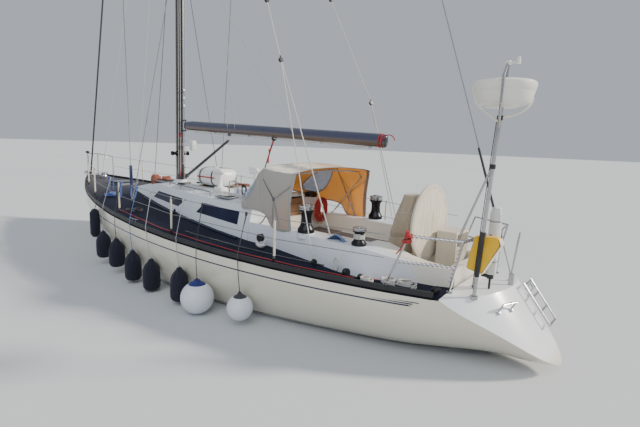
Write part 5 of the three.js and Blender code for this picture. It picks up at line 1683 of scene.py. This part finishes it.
def hood_films(surface):
    """The clear panels behind the openings."""
    shapes = []
    for middle in HOOD_WINDOWS["across"]:

        def place(a, b):
            across, along = 2 * a - 1, 2 * b - 1
            reach = 1.05 * max(abs(across), abs(along))
            u, v = window_place(middle, reach, atan2(along, across))
            return surface(u, v) - outward(surface, u, v) * 0.0065

        film = sheet_grid(28, 20, place)
        thicken(film, 0.0012)
        shapes += [film]
    return dress("hood_windows", shapes, "Clear film", angle=70)


def hood_trim(surface):
    """Hems, the binding round the windows, the bows' sleeves and the straps."""
    hems = [
        (between((0.015, 0.022), (0.985, 0.022), 90), 0.06),
        (between((0.02, 0.985), (0.98, 0.985), 70), 0.035), (between((0.26, 0.5), (0.74, 0.5), 50), 0.03),
        *((between((u, 0.03), (u, 0.97), 50), 0.028) for u in (0.012, 0.988))
    ]
    hems += [(window_path(middle, 1.06), 0.022) for middle in HOOD_WINDOWS["across"]]
    bands = []
    for path, width in hems:
        points, facings = on_surface(surface, path, 0.003)
        points = [p - f * hood_sag(u, v) for p, f, (u, v) in zip(points, facings, path)]
        bands += [ribbon(points, facings, width, 0.002)]
    binding = dress("hood_binding", bands, "Hood binding", angle=70)
    crossing = xyz(2.77, 1.008, 1.77)
    soft = [hood_strap(end, crossing) for end in ((2.4, 0.995, 2.02), (2.8, 1, 1.38), (2.64, 1, 1.36))]
    webbing = [
        hood_strap((3.03, 0.99, 2.06), crossing),
        block(crossing - xyz(0.02, 0, 0.03), crossing + xyz(0.02, 0.01, 0.03), 0.004)
    ]
    ties = dress("hood_ties", [*soft, *map(mirrored, soft)], "Hood webbing", angle=60)
    straps = dress("hood_straps", [*webbing, *map(mirrored, webbing)], "Hood strap", angle=60)
    return [binding, ties, straps]


def hood_strap(start, end):
    start, end = Vector(start), Vector(end)
    points = [start.lerp(end, i / 10) + xyz(0, 0.006 * sin(pi * i / 10), 0) for i in range(11)]
    return ribbon(points, [(0, 1, 0)] * 11, 0.016, 0.003)


class YACHT_OT_spray_hood(YachtOperator):
    """Makes the spray hood's cloth, its windows, its seams and straps, and its frame."""

    bl_idname = "yacht.spray_hood"
    bl_label = "Spray hood"

    def execute(self, context):
        make_spray_hood()
        return {"FINISHED"}


def bag(section, columns=56, rows=34):
    """A cloth bag: section(angle, height) gives its skin from 0 at the foot to 1, and 1 to 1.3 closes it."""

    def place(u, v):
        angle = 2 * pi * u
        height = v * 1.3
        if height <= 1:
            return section(angle, height)
        middle = sum((section(pi * k / 4, 1) for k in range(8)), Vector()) / 8
        share = (height - 1) / 0.3
        edge = section(angle, 1)
        return edge.lerp(middle, share) + xyz(0, 0, 0.018 * sin(pi * share / 2))

    shape = sheet_grid(columns, rows, place)
    merge(shape, 1e-4)
    return shape


def squarish(angle, square=3.4):
    """A rounded square's reach in a direction, as a pair."""
    c, s = cos(angle), sin(angle)
    r = 1 / (abs(c) ** square + abs(s) ** square) ** (1 / square)
    return r * c, r * s


def wheel_cover():
    centre = Vector(WHEEL)
    reach = 0.538

    def skin(u, v):
        angle = 2 * pi * u
        side = 1 if v < 0.5 else -1
        share = 1 - abs(2 * v - 1)
        radius = reach * sin(pi / 2 * min(1, share / 0.96)) if share < 0.96 else reach
        thick = 0.016 + 0.024 * (1 - (radius / reach) ** 2)
        if share >= 0.96:
            thick = 0.016 * (1 - (share - 0.96) / 0.04)
        y, z = radius * cos(angle), radius * sin(angle)
        hang = max(0, 1 - (radius / reach) ** 6)
        fold = 0.0045 * sin(34 * y + 3 * sin(5 * z)) + 0.003 * sin(61 * y + 2 * z)
        return centre + xyz(side * thick + fold * hang, y, z)

    cover = sheet_grid(96, 56, skin)
    merge(cover, 1e-4)
    piece = dress("wheel_cover", cover, "Wheel cover", "wheel", ["steering_wheel"], 70)
    give_wall(piece, "Cloth", 0.002)
    outer = [(0.478, 0.019), (0.478, 0.0225), (0.515, 0.0205), (0.5405, 0.012), (0.543, 0)]
    inner = [(0.478, 0.019), (0.515, 0.018), (0.5385, 0.01), (0.5395, 0)]
    back = [(radius, -away) for radius, away in (*outer[3::-1], *inner[1:3])]
    band = turned([*outer, *back, *inner[::-1]], centre, (1, 0, 0), 96)
    rim = dress("wheel_cover_edge", band, "Cover edging", "wheel", angle=60)


def binnacle_cover():
    low, high = xyz(1.12, 0, 1.06), xyz(0.93, 0, 1.965)

    def section(angle, height):
        c, s = squarish(angle)
        swell = 1 + 0.1 * sin(pi * min(1, height * 1.1))
        pinch = 1 - 0.12 * exp(-(((height - 0.3) / 0.05) ** 2))
        half_x = (0.165 - 0.05 * height) * swell * pinch
        half_y = (0.19 - 0.04 * height) * swell * pinch
        crease = 0.006 * sin(7 * angle + 6 * height) + 0.004 * sin(13 * angle - 9 * height)
        place = low.lerp(high, height)
        return place + xyz(
            c * (half_x + crease), s * (half_y + crease), 0.02 * (1 - height) * sin(4 * angle)
        )

    cover = bag(section)
    piece = dress("binnacle_cover", cover, "Binnacle cover", covers=["binnacle"], angle=70)
    give_wall(piece, "Cloth", 0.003)
    cords = [[section(2 * pi * k / 40, height) for k in range(41)] for height in (0.3, 0.72)]
    tie = lines("binnacle_ties", "White rope", 0.0045, cords, bend=False)
    column = block((0.96, -0.11, 0.782), (1.14, 0.11, 1.42), 0.02)
    dress("binnacle_column", column, "Cockpit white")
    axle = rod((0.7, 0, 1.6), (0.87, 0, 1.6), 0.014, 16)
    dress("wheel_axle", axle, "Polished tube")


class YACHT_OT_covers(YachtOperator):
    """Makes the covers of the wheel and of the binnacle."""

    bl_idname = "yacht.covers"
    bl_label = "Covers"

    def execute(self, context):
        wheel_cover()
        binnacle_cover()
        return {"FINISHED"}


def make_stern_gear():
    paint_nodes("Polished tube", "radar_pole", "swim_ladder", "ensign_staff")
    radar()
    rescue_bag()
    danbuoy()
    stern_handles("Polished tube")


def radar():
    at = pole_at(3.11)
    shape = [
        (0, 0), (0.215, 0), (0.255, 0.01), (0.28, 0.038), (0.3, 0.1), (0.3085, 0.13), (0.3065, 0.133),
        (0.3095, 0.136), (0.321, 0.18), (0.325, 0.205), (0.32, 0.226), (0.302, 0.24), (0.265, 0.247),
        (0.12, 0.252), (0, 0.252)
    ]
    dress("dome_shell", turned(shape, at, steps=64), "Dome", covers=["radar_dome"])
    clamps = [rod(pole_at(z - 0.025), pole_at(z + 0.025), 0.031, 20) for z in (1.7, 2.46, 2.98)]
    clamps += [rod(pole_at(1.2), pole_at(1.7), 0.0265, 20)]
    dress("pole_clamps", clamps, "Block")
    plate = rod(at - xyz(0, 0, 0.022), at, 0.16, 32, 0.2)
    struts = [rod(pole_at(2.93), at + xyz(0.2, 0.166, -0.005), 0.013, 12)]
    bend = [(0, 0, -0.13), (-0.13, -0.11, -0.1), (-0.235, -0.197, -0.04), (-0.247, -0.207, 0.09)]
    struts += [line([at + Vector(step) for step in bend], 0.013, sides=10)]
    dress("dome_bracket", [plate, *struts], "Dome")
    ahead = xyz(-0.105, 0.36, 0)
    tube = [
        pole_at(2.88) + ahead * 0.09, at + ahead, at + ahead + xyz(0, 0, 0.25), pole_at(3.53) + ahead * 0.09
    ]
    dress("pole_brace", line(tube, 0.014, False, 12), "Polished tube")
    head = pole_at(3.57)
    top = [
        rod(head - xyz(0, 0, 0.05), head + xyz(0, 0, -0.005), 0.03, 20),
        rod(head + xyz(0, 0, -0.03), head + xyz(-0.11, 0.02, -0.03), 0.01),
        rod(head + xyz(-0.11, 0.02, -0.05), head + xyz(-0.11, 0.02, 0.02), 0.022, 20, 0.016)
    ]
    dress("pole_head", top, "Canister")
    cable = [
        pole_at(3) + xyz(0.03, 0, 0), pole_at(2.4) + xyz(0.034, 0.01, 0),
        pole_at(1.75) + xyz(0.03, 0.005, 0), pole_at(1.05) + xyz(0.034, 0, 0)
    ]
    lines("pole_cable", "Black rope", 0.005, [cable], bend=True)


def rescue_bag():
    corners = [(-0.237, 1.66), (-0.5, 1.68), (-0.53, 1.59), (-0.35, 1.215), (-0.17, 1.26)]
    shape = bmesh.new()
    for y in (0.58, 0.7):
        for x, z in corners:
            shape.verts.new((x, y, z))
    bmesh.ops.convex_hull(shape, input=shape.verts[:])
    bmesh.ops.dissolve_limit(shape, angle_limit=0.02, verts=shape.verts, edges=shape.edges)
    round_edges(shape, 0.028, 4)
    bmesh.ops.triangulate(shape, faces=[f for f in shape.faces if len(f.verts) > 4])
    bmesh.ops.subdivide_edges(shape, edges=shape.edges[:], cuts=3, use_grid_fill=True)
    middle = xyz(-0.35, 0.64, 1.46)
    for vert in shape.verts:
        away = vert.co - middle
        bulge = 0.022 * max(0, 1 - (away.x / 0.22) ** 2) * max(0, 1 - (away.z / 0.26) ** 2)
        wave = 0.006 * sin(31 * away.z + 12 * away.x) + 0.004 * sin(47 * away.x)
        vert.co.y += copysign(bulge + wave * (abs(away.y) > 0.03), away.y)
    piece = dress("rescue_cover", shape, "Yellow cloth", covers=["rescue_bag"], angle=60)
    top, bend, foot = xyz(-0.505, 0.64, 1.665), xyz(-0.535, 0.64, 1.595), xyz(-0.352, 0.64, 1.225)
    panel = [top.lerp(bend, i / 4) for i in range(4)] + [bend.lerp(foot, i / 12) for i in range(13)]
    edge = ribbon(
        [p + xyz(-0.004, 0, -0.002) for p in panel], [(-0.9, 0, -0.42)] * len(panel), 0.115, 0.004
    )
    dress("rescue_edge", edge, "Binding", angle=60)
    bands = []
    for share in (0, 1):
        x = -0.34 - 0.03 * share
        low = xyz(x + 0.02, 0.735 - 0.19 * share, 1.23)
        high = xyz(x, 0.735 - 0.19 * share, 1.675)
        run = [low.lerp(high, i / 8) for i in range(9)]
        bands += [ribbon(run, [(0, 1, 0)] * 9, 0.032, 0.004)]
    over = [xyz(-0.34, 0.735, 1.675), xyz(-0.35, 0.64, 1.688), xyz(-0.37, 0.545, 1.675)]
    bands += [ribbon(over, [(0, 0, 1)] * 3, 0.032, 0.004)]
    dress("rescue_straps", bands, "Hood strap", angle=60)


def danbuoy():
    low, high = xyz(-0.35, 0.35, 1.16), xyz(-0.35, 0.35, 1.965)

    def section(angle, height):
        swell = 0.062 + 0.008 * sin(pi * height) - 0.01 * (height > 0.94)
        ties = sum(exp(-(((height - h) / 0.015) ** 2)) for h in (0.2, 0.5, 0.8))
        r = swell - 0.006 * ties + 0.003 * sin(5 * angle + 7 * height)
        return low.lerp(high, height) + xyz(r * cos(angle), r * sin(angle), 0)

    cover = bag(section, 36, 60)
    bmesh.ops.holes_fill(cover, edges=[e for e in cover.edges if e.is_boundary], sides=0)
    piece = dress("danbuoy_bag", cover, "Danbuoy bag", covers=["danbuoy"], angle=70)
    staff = rod((-0.35, 0.35, 0.93), (-0.35, 0.35, 1.17), 0.014)
    clamp = rod((-0.35, 0.35, 1.1), (-0.35, 0.35, 1.17), 0.04, 20)
    clasp = block((-0.36, 0.35, 1.12), (-0.26, 0.42, 1.15), 0.008)
    dress("danbuoy_clamp", [staff, clamp, clasp], "Block")
    straps = []
    for height in (0.2, 0.5, 0.8):
        ring = [section(2 * pi * k / 24, height) for k in range(25)]
        facings = [(cos(2 * pi * k / 24), sin(2 * pi * k / 24), 0) for k in range(25)]
        straps += [ribbon([p + Vector(f) * 0.003 for p, f in zip(ring, facings)], facings, 0.028, 0.003)]
    dress("danbuoy_straps", straps, "Binding grey", angle=60)
    tab = block((-0.425, 0.325, 1.44), (-0.412, 0.375, 1.56), 0.004)
    dress("danbuoy_tab", tab, "Red tab")


def stern_handles(tube):
    """Bent steel handles on the transom and pads under the stern's rails."""
    shapes = []
    for side in (1, -1):
        points = [
            xyz(transom_x(y, 0.78) - out * 0.5, side * y, 0.78 + out)
            for y, out in ((0.56, 0), (0.56, 0.11), (0.36, 0.11), (0.36, 0))
        ]
        shapes += [line(points, 0.011, bend=False, sides=10)]
        points = [p - xyz(0.02, 0, 0.02) for p in points[::3]]
        shapes += [rod(p, p + xyz(0.03, 0, 0.03), 0.028, 16) for p in points]
    for side in (1, -1):
        for x, y in QUARTER_RAIL_FEET[1:]:
            z = deck_at(x, y) - 0.02
            shapes += [rod((x, side * y, z), (x, side * y, z + 0.03), 0.042, 20, 0.036)]
    dress("stern_handles", shapes, tube)


class YACHT_OT_stern_gear(YachtOperator):
    """Finishes the radar's pole and dome, the rescue bag, the danbuoy, the ladder and the stern's handles."""

    bl_idname = "yacht.stern_gear"
    bl_label = "Stern gear"

    def execute(self, context):
        make_stern_gear()
        return {"FINISHED"}


def liferaft():
    low, high = box_of("liferaft")
    foot = low.z + 0.04
    middle = (low + high) / 2
    reach, wide = (high.x - low.x) / 2, (high.y - low.y) / 2
    rise, tall = (foot + high.z) / 2, (high.z - foot) / 2

    def skin(u, v):
        """A long drum with rounded ends, cut flat below."""
        along = copysign(1 - (1 - abs(2 * v - 1)) ** 2.6, v - 0.5)
        c, s = squarish(2 * pi * u, 2.9)
        fade = sqrt(max(0, 1 - abs(along) ** 7))
        ridge = 0.008 * exp(-((along / 0.03) ** 2))
        rib = 0.004 * (cos(22 * along) > 0.75) * fade
        y = c * fade * (wide - 0.01) * (1 + ridge) + copysign(rib, c) * (abs(s) < 0.8)
        z = max(-tall, s * fade * tall * (1 + ridge))
        return xyz(middle.x + along * reach, middle.y + y, rise + z)

    shape = sheet_grid(72, 72, skin)
    merge(shape, 1e-4)
    dress("raft_shell", shape, "Canister", covers=["liferaft"], angle=60)
    places = [squarish(-pi / 2 + 2 * pi * k / 48, 2.9) for k in range(49)]
    facings = [xyz(0, c, s).normalized() for c, s in places]
    straps = []
    for x in (middle.x - 0.2, middle.x + 0.2):
        ring = [
            xyz(x, middle.y + c * (wide - 0.004), max(foot - 0.004, rise + s * (tall + 0.006)))
            for c, s in places
        ]
        straps += [ribbon(ring, facings, 0.032, 0.004)]
    top = high.z + 0.006
    straps += [block(
        (middle.x - 0.2, middle.y - 0.012, top), (middle.x + 0.2, middle.y + 0.012, top + 0.006)
    )]
    dress("raft_straps", straps, "Block", angle=60)
    band = []
    for side in (1, -1):
        y0, y1 = sorted(middle.y + side * (wide - inset) for inset in (0.012, 0.002))
        band += [block((middle.x - 0.3, y0, rise - 0.012), (middle.x + 0.3, y1, rise + 0.016), 0.003)]
    dress("raft_band", band, "Red band")
    feet = [
        block((x - 0.03, low.y + 0.06, low.z), (x + 0.03, high.y - 0.06, foot + 0.004), 0.004)
        for x in (middle.x - 0.28, middle.x + 0.28)
    ]
    dress("raft_cradle", feet, "Oiled teak")


def cowl_vents():
    for name, side in (("port", 1), ("starboard", -1)):
        at = xyz(4.85, side * 0.45, 1.634)
        base = bmesh.new()
        bmesh.ops.create_cone(
            base, cap_ends=True, segments=4, radius1=0.5 * sqrt(2), radius2=0.43 * sqrt(2), depth=1,
            matrix=Matrix.Rotation(pi / 4, 4, "Z")
        )
        round_edges(base, 0.09, 4)
        base.transform(
            Matrix.Translation(at + xyz(-0.02, 0, 0.03)) @ Matrix.Diagonal((0.25, 0.195, 0.15, 1))
        )
        stem = turned(
            [
                (0, 0.1), (0.066, 0.1), (0.06, 0.118), (0.046, 0.13), (0.045, 0.3), (0.052, 0.36),
                (0.05, 0.42), (0, 0.42)
            ],
            at, steps=40
        )
        bell = [
            (0, -0.092), (0.028, -0.088), (0.05, -0.07), (0.061, -0.04), (0.064, 0), (0.07, 0.05),
            (0.079, 0.095), (0.086, 0.118), (0.085, 0.126), (0.079, 0.126), (0.071, 0.1), (0.061, 0.05),
            (0.05, 0), (0, -0.02)
        ]
        mouth = turned(bell, at + xyz(0, 0, 0.4), (1, 0, 0), 40)
        node = f"cowl_vent_{name}"
        dress(f"{node}_shell", [base, stem, mouth], "Canister", covers=[node], angle=50)
        throat = turned(
            [(0, 0), (0.052, 0), (0.058, 0.03), (0, 0.03)], at + xyz(0.012, 0, 0.4), (1, 0, 0), 32
        )
        dress(f"{node}_throat", throat, "Vent throat")


def roof_fittings():
    posts = []
    for side in (1, -1):
        points, height = [], 0.075
        for x in (4.72, 5.35, 6, 6.6):
            y = side * (chord(COACHROOF, x, 1) - 0.17)
            posts += [rod((x, y, 1.58), (x, y, 1.58 + height + 0.02), 0.009, 10, 0.012)]
            points += [(x, y, 1.6 + height)]
        posts += [line(points, 0.013, bend=False, sides=10)]
    post = [
        (4.33, 0.44, 1.66), (4.33, 0.44, 1.86), (4.45, 0.44, 1.885), (4.58, 0.44, 1.86), (4.58, 0.44, 1.66)
    ]
    posts += [line(post, 0.012, bend=False, sides=10)]
    dress("roof_handrails", posts, "Polished tube")
    clutches, led = [], []
    for side in (1, -1):
        for k in range(4):
            y = side * (0.62 + 0.055 * k)
            led += [[(3.44, y, 1.645), (4.3, y * 0.86, 1.665), (6.55, side * (0.1 + 0.05 * k), 1.66)]]
            clutches += [
                block((3.44, y - 0.022, 1.6), (3.6, y + 0.022, 1.68), 0.008),
                block(
                    (3.45, y - 0.014, 1.675), (3.585, y + 0.014, 1.7), 0.005, Matrix.Rotation(-0.12, 4, "Y")
                )
            ]
    dress("rope_clutches", clutches, "Block")
    lines("led_aft_lines", "White rope", 0.0055, led)
    organisers = []
    for side in (1, -1):
        at = xyz(6.42, side * 0.24, 1.655)
        organisers += [block(at - xyz(0.04, 0.15, 0.02), at + xyz(0.04, 0.15, 0.025), 0.01)]
    dress("line_organisers", organisers, "Block")


def side_fittings():
    """Fittings of the side decks and of the coamings."""
    shapes = []
    for side in (1, -1):
        for x in (0.45, 5.75, 10.6):
            edge = chord(STATIONS, x, 1) - 0.1
            at = xyz(x, side * edge, deck_at(x, edge))
            for dx in (-0.05, 0.05):
                shapes += [rod(at + xyz(dx, 0, -0.002), at + xyz(dx, 0, 0.045), 0.018, 12, 0.012)]
            arc = ((-0.14, 0.062), (-0.05, 0.05), (0.05, 0.05), (0.14, 0.062))
            horn = [at + xyz(dx, 0, dz) for dx, dz in arc]
            shapes += [line(horn, 0.013, bend=True, sides=10)]
    dress("cleats", shapes, "Polished tube")
    blocks = [
        pulley(at, size, toward)
        for at, size, toward in (
            ((1.21, 1.17, 0.995), 0.11, (-0.2, 0, -1)), ((0.06, 0.94, 0.985), 0.11, (0.5, 0, -0.8)),
            ((0.97, 1.19, 0.99), 0.085, (0, 0, -1)), ((1.21, -1.17, 0.995), 0.11, (-0.2, 0, -1)),
            ((0.06, -0.94, 0.985), 0.11, (0.5, 0, -0.8))
        )
    ]
    blocks += [block((1.02, y - 0.02, 0.955), (1.32, y + 0.02, 0.972), 0.005) for y in (1.175, -1.175)]
    dress("side_blocks", blocks, "Block")
    for side, name in ((1, "port"), (-1, "starboard")):
        at = xyz(2.85, side * 1.19, deck_at(2.85, 1.19))
        curve = [
            at + xyz(0.105 * cos(a), 0, 0.145 + 0.105 * sin(a)) for a in map(radians, range(175, 371, 14))
        ]
        cup = [line(curve, 0.022, False, 12), line(curve[3:-3], 0.031, False, 12)]
        dress(f"lead_{name}", cup, "Canister")
        cheek = [(0, -0.028), (0.062, -0.028), (0.05, 0), (0.062, 0.028), (0, 0.028)]
        spool = turned(cheek, at + xyz(0, 0, 0.17), (0, 1, 0), 28)
        dress(f"lead_spool_{name}", spool, "Block")

    def crumple(u, v):
        ripple = 0.02 * sin(7 * u + 4 * v) + 0.016 * sin(11 * v - 3 * u)
        return xyz(
            1.3 + 0.44 * u, 0.66 + 0.34 * v,
            1.236 + ripple + 0.07 * exp(-(((u - 0.5) / 0.3) ** 2)) + 0.09 * v
        )

    fold = sheet_grid(30, 26, crumple)
    cover = dress("coaming_cloth", fold, "Blue canvas", closed=False, angle=70)
    give_wall(cover, "Cloth", 0.004)
    wraps = wound((1.15, 1, 1.425), (1.15, 1, 1.495), 0.072, 0.0145)
    lines("winch_turns", "White rope", 0.0068, [wraps], "drum_primary_port")


def bow_gear():
    """The stemhead with its roller, the anchor's chain and the deck's windlass."""
    rounded_copy("stemhead", "Polished tube", bevel=0.004)
    roller = turned(
        [(0, -0.03), (0.045, -0.03), (0.028, 0), (0.045, 0.03), (0, 0.03)], (12.24, 0, 1.5), (0, 1, 0), 28
    )
    dress("bow_roller", roller, "Block")
    drum = [
        (0, 0), (0.11, 0), (0.11, 0.05), (0.075, 0.07), (0.06, 0.11), (0.09, 0.14), (0.085, 0.17), (0, 0.18)
    ]
    at = (11, 0, deck_at(11, 0) - 0.004)
    dress("windlass", turned(drum, at, steps=36), "Polished tube")
    links = []
    start, end = xyz(11.12, 0, deck_at(11.12, 0) + 0.09), xyz(11.95, 0, 1.515)
    count = 26
    for k in range(count):
        a = start.lerp(end, k / count)
        b = start.lerp(end, (k + 1.2) / count)
        side = xyz(0, 1, 0) if k % 2 else xyz(0, 0, 1)
        ring = [
            (a + b) / 2 + (b - a) * 0.5 * cos(pi * j / 4) + side * 0.011 * sin(pi * j / 4) for j in range(8)
        ]
        links += [line(ring, 0.0045, False, closed=True)]
    dress("anchor_chain", links, "Galvanised")


class YACHT_OT_deck_gear(YachtOperator):
    """Makes the liferaft, the cowl vents, the handrails, the cleats and the anchor roller."""

    bl_idname = "yacht.deck_gear"
    bl_label = "Deck gear"

    def execute(self, context):
        liferaft()
        cowl_vents()
        roof_fittings()
        side_fittings()
        bow_gear()
        return {"FINISHED"}


def jacklines():
    path = ((6.83, 1.5), (5.01, 1.64), (3.81, 1.6), (2.88, 1.53), (1.83, 1.37), (1.11, 1.21), (0.8, 1.05))
    runs = [[(x, side * y, deck_at(x, y) + 0.007) for x, y in path] for side in (1, -1)]
    lines("jacklines", "Red rope", 0.007, runs)
    thin = []
    for side in (1, -1):
        points = []
        for k in range(24):
            x = 0.9 + 3.6 * k / 23
            y = chord(STATIONS, x, 1) - 0.42
            points += [(x, side * y, deck_at(x, y) + 0.008)]
        thin += [points]
    lines("foot_tracks", "Flecked rope", 0.008, thin)


def hung_lines():
    shapes = []
    for x, drop in ((7.35, 0.34), (7.3, 0.4), (6.98, 0.3), (6.55, 0.42), (6.5, 0.36), (6.05, 0.3)):
        top = wire_at(x, 0.97) + xyz(0, 0.012, 0.004)
        steps = [
            (0, 0, 0), (0.015, 0.022, -drop * 0.5), (-0.01, 0.012, -drop), (-0.03, 0.014, -drop * 0.45),
            (-0.012, 0.01, 0)
        ]
        shapes += [line([top + Vector(step) for step in steps], 0.006)]
    shapes += [
        coil(wire_at(x, 0.97), 0.017, 3, 0.006, (1, 0.1, 0), 1, k) for k, x in enumerate((7.33, 6.98, 6.52))
    ]
    dress("rail_lines", shapes, "Blue rope")
    hung = [
        hank((3.19 - 0.012 * k, -0.62, 1.66), wide, 0.48 - 0.03 * k, 9, 0.01, (-1, 0, 0), 3 + k)
        for k, wide in enumerate((0.34, 0.24, 0.14))
    ]
    dress("red_hank", hung, "Red rope")


def deck_coils():
    heap = []
    for k in range(3):
        at = xyz(8.36 + 0.05 * k, 1.02 - 0.05 * k, deck_at(8.38, 1.04) + 0.012 + 0.016 * k)
        heap += [coil(at, 0.16 - 0.03 * k, 3, 0.007, (0.05 * k, 0.08, 1), 0.7, 11 + k)]
    dress("blue_coil", heap, "Blue rope")
    dark = []
    for k, (x, y) in enumerate(((6.52, 1.42), (6.46, 1.3))):
        at = xyz(x, y, deck_at(x, y) + 0.012)
        dark += [coil(at, 0.11, 4, 0.007, (0, 0.04, 1), 0.75, 21 + k)]
    dress("black_coils", dark, "Black rope")
    white = []
    for k, (x, y, reach) in enumerate(((0.86, 1.2, 0.09), (0.62, 1.05, 0.13), (0.42, 0.97, 0.13))):
        ground = chord(STATIONS, x, 2) + TEAK
        at = xyz(x, y, max(ground, deck_at(x, y)) + 0.012)
        white += [
            coil(at, reach, 4, 0.0075, (0.02, 0.05, 1), 0.7, 31 + k),
            coil(at + xyz(0.02, 0.01, 0.022), reach * 0.7, 3, 0.0075, (0.06, -0.04, 1), 0.8, 41 + k)
        ]
    white += [hank((1.33, 1.22, 1.19), 0.1, 0.19, 5, 0.007, (0, 1, 0), 9)]
    dress("white_coils", white, "White rope")


def rope_bundles():
    """Made-up sheets and halyards that lie ahead of the mast and beside the liferaft."""
    shapes = []
    for k, (x, y, z) in enumerate(((7.7, 0.18, 1.52), (7.42, 0.06, 1.53))):
        for j in range(6 - k):
            at = xyz(x + 0.01 * j, y, z + 0.034 * j)
            reach = 0.12 - 0.006 * (j - 2) ** 2
            shapes += [coil(at, reach, 2, 0.02, (0.15, 0.1 * k, 1), 0.85, 51 + 7 * k + j)]
    dress("foredeck_coils", shapes, "Tan rope")
    pile = [
        coil(
            (5.15 + 0.27 * k, -0.6, 1.6 + 0.02 * (k % 2)), 0.13, 5, 0.01, (0.1, 0.15 * (-1) ** k, 1), 0.8,
            71 + k
        )
        for k in range(4)
    ]
    dress("roof_coils", pile, "Tan rope")
    dress("hood_hank", hank((4.06, 0.5, 1.86), 0.14, 0.22, 5, 0.0065, (0, 1, 0), 5), "Black rope")


class YACHT_OT_loose_lines(YachtOperator):
    """Lays the jackline, the ropes on the lifelines, the coils and the bundles on deck."""

    bl_idname = "yacht.loose_lines"
    bl_label = "Loose lines"

    def execute(self, context):
        jacklines()
        hung_lines()
        deck_coils()
        rope_bundles()
        return {"FINISHED"}


OPERATORS = [
    YACHT_OT_stage, YACHT_OT_hull, YACHT_OT_deck, YACHT_OT_coachroof, YACHT_OT_cockpit, YACHT_OT_spars,
    YACHT_OT_running_rigging, YACHT_OT_rails, YACHT_OT_fenders, YACHT_OT_spray_hood, YACHT_OT_covers,
    YACHT_OT_stern_gear, YACHT_OT_deck_gear, YACHT_OT_loose_lines,
]


class YACHT_PT_panel(bpy.types.Panel):
    """Lists the steps and the settings."""

    bl_label = "Yacht"
    bl_idname = "YACHT_PT_panel"
    bl_space_type = "VIEW_3D"
    bl_region_type = "UI"
    bl_category = "Yacht"

    def draw(self, context):
        for name in YachtSettings.__annotations__:
            self.layout.prop(context.scene.yacht, name)
        for operator in OPERATORS:
            self.layout.operator(operator.bl_idname)


def register():
    for cls in (YachtSettings, *OPERATORS, YACHT_PT_panel):
        bpy.utils.register_class(cls)
    bpy.types.Scene.yacht = PointerProperty(type=YachtSettings)


def unregister():
    del bpy.types.Scene.yacht
    for cls in (YACHT_PT_panel, *reversed(OPERATORS), YachtSettings):
        bpy.utils.unregister_class(cls)


def main():
    register()
    for operator in OPERATORS:
        group, action = operator.bl_idname.split(".")
        getattr(getattr(bpy.ops, group), action)()


if __name__ == "__main__":
    main()
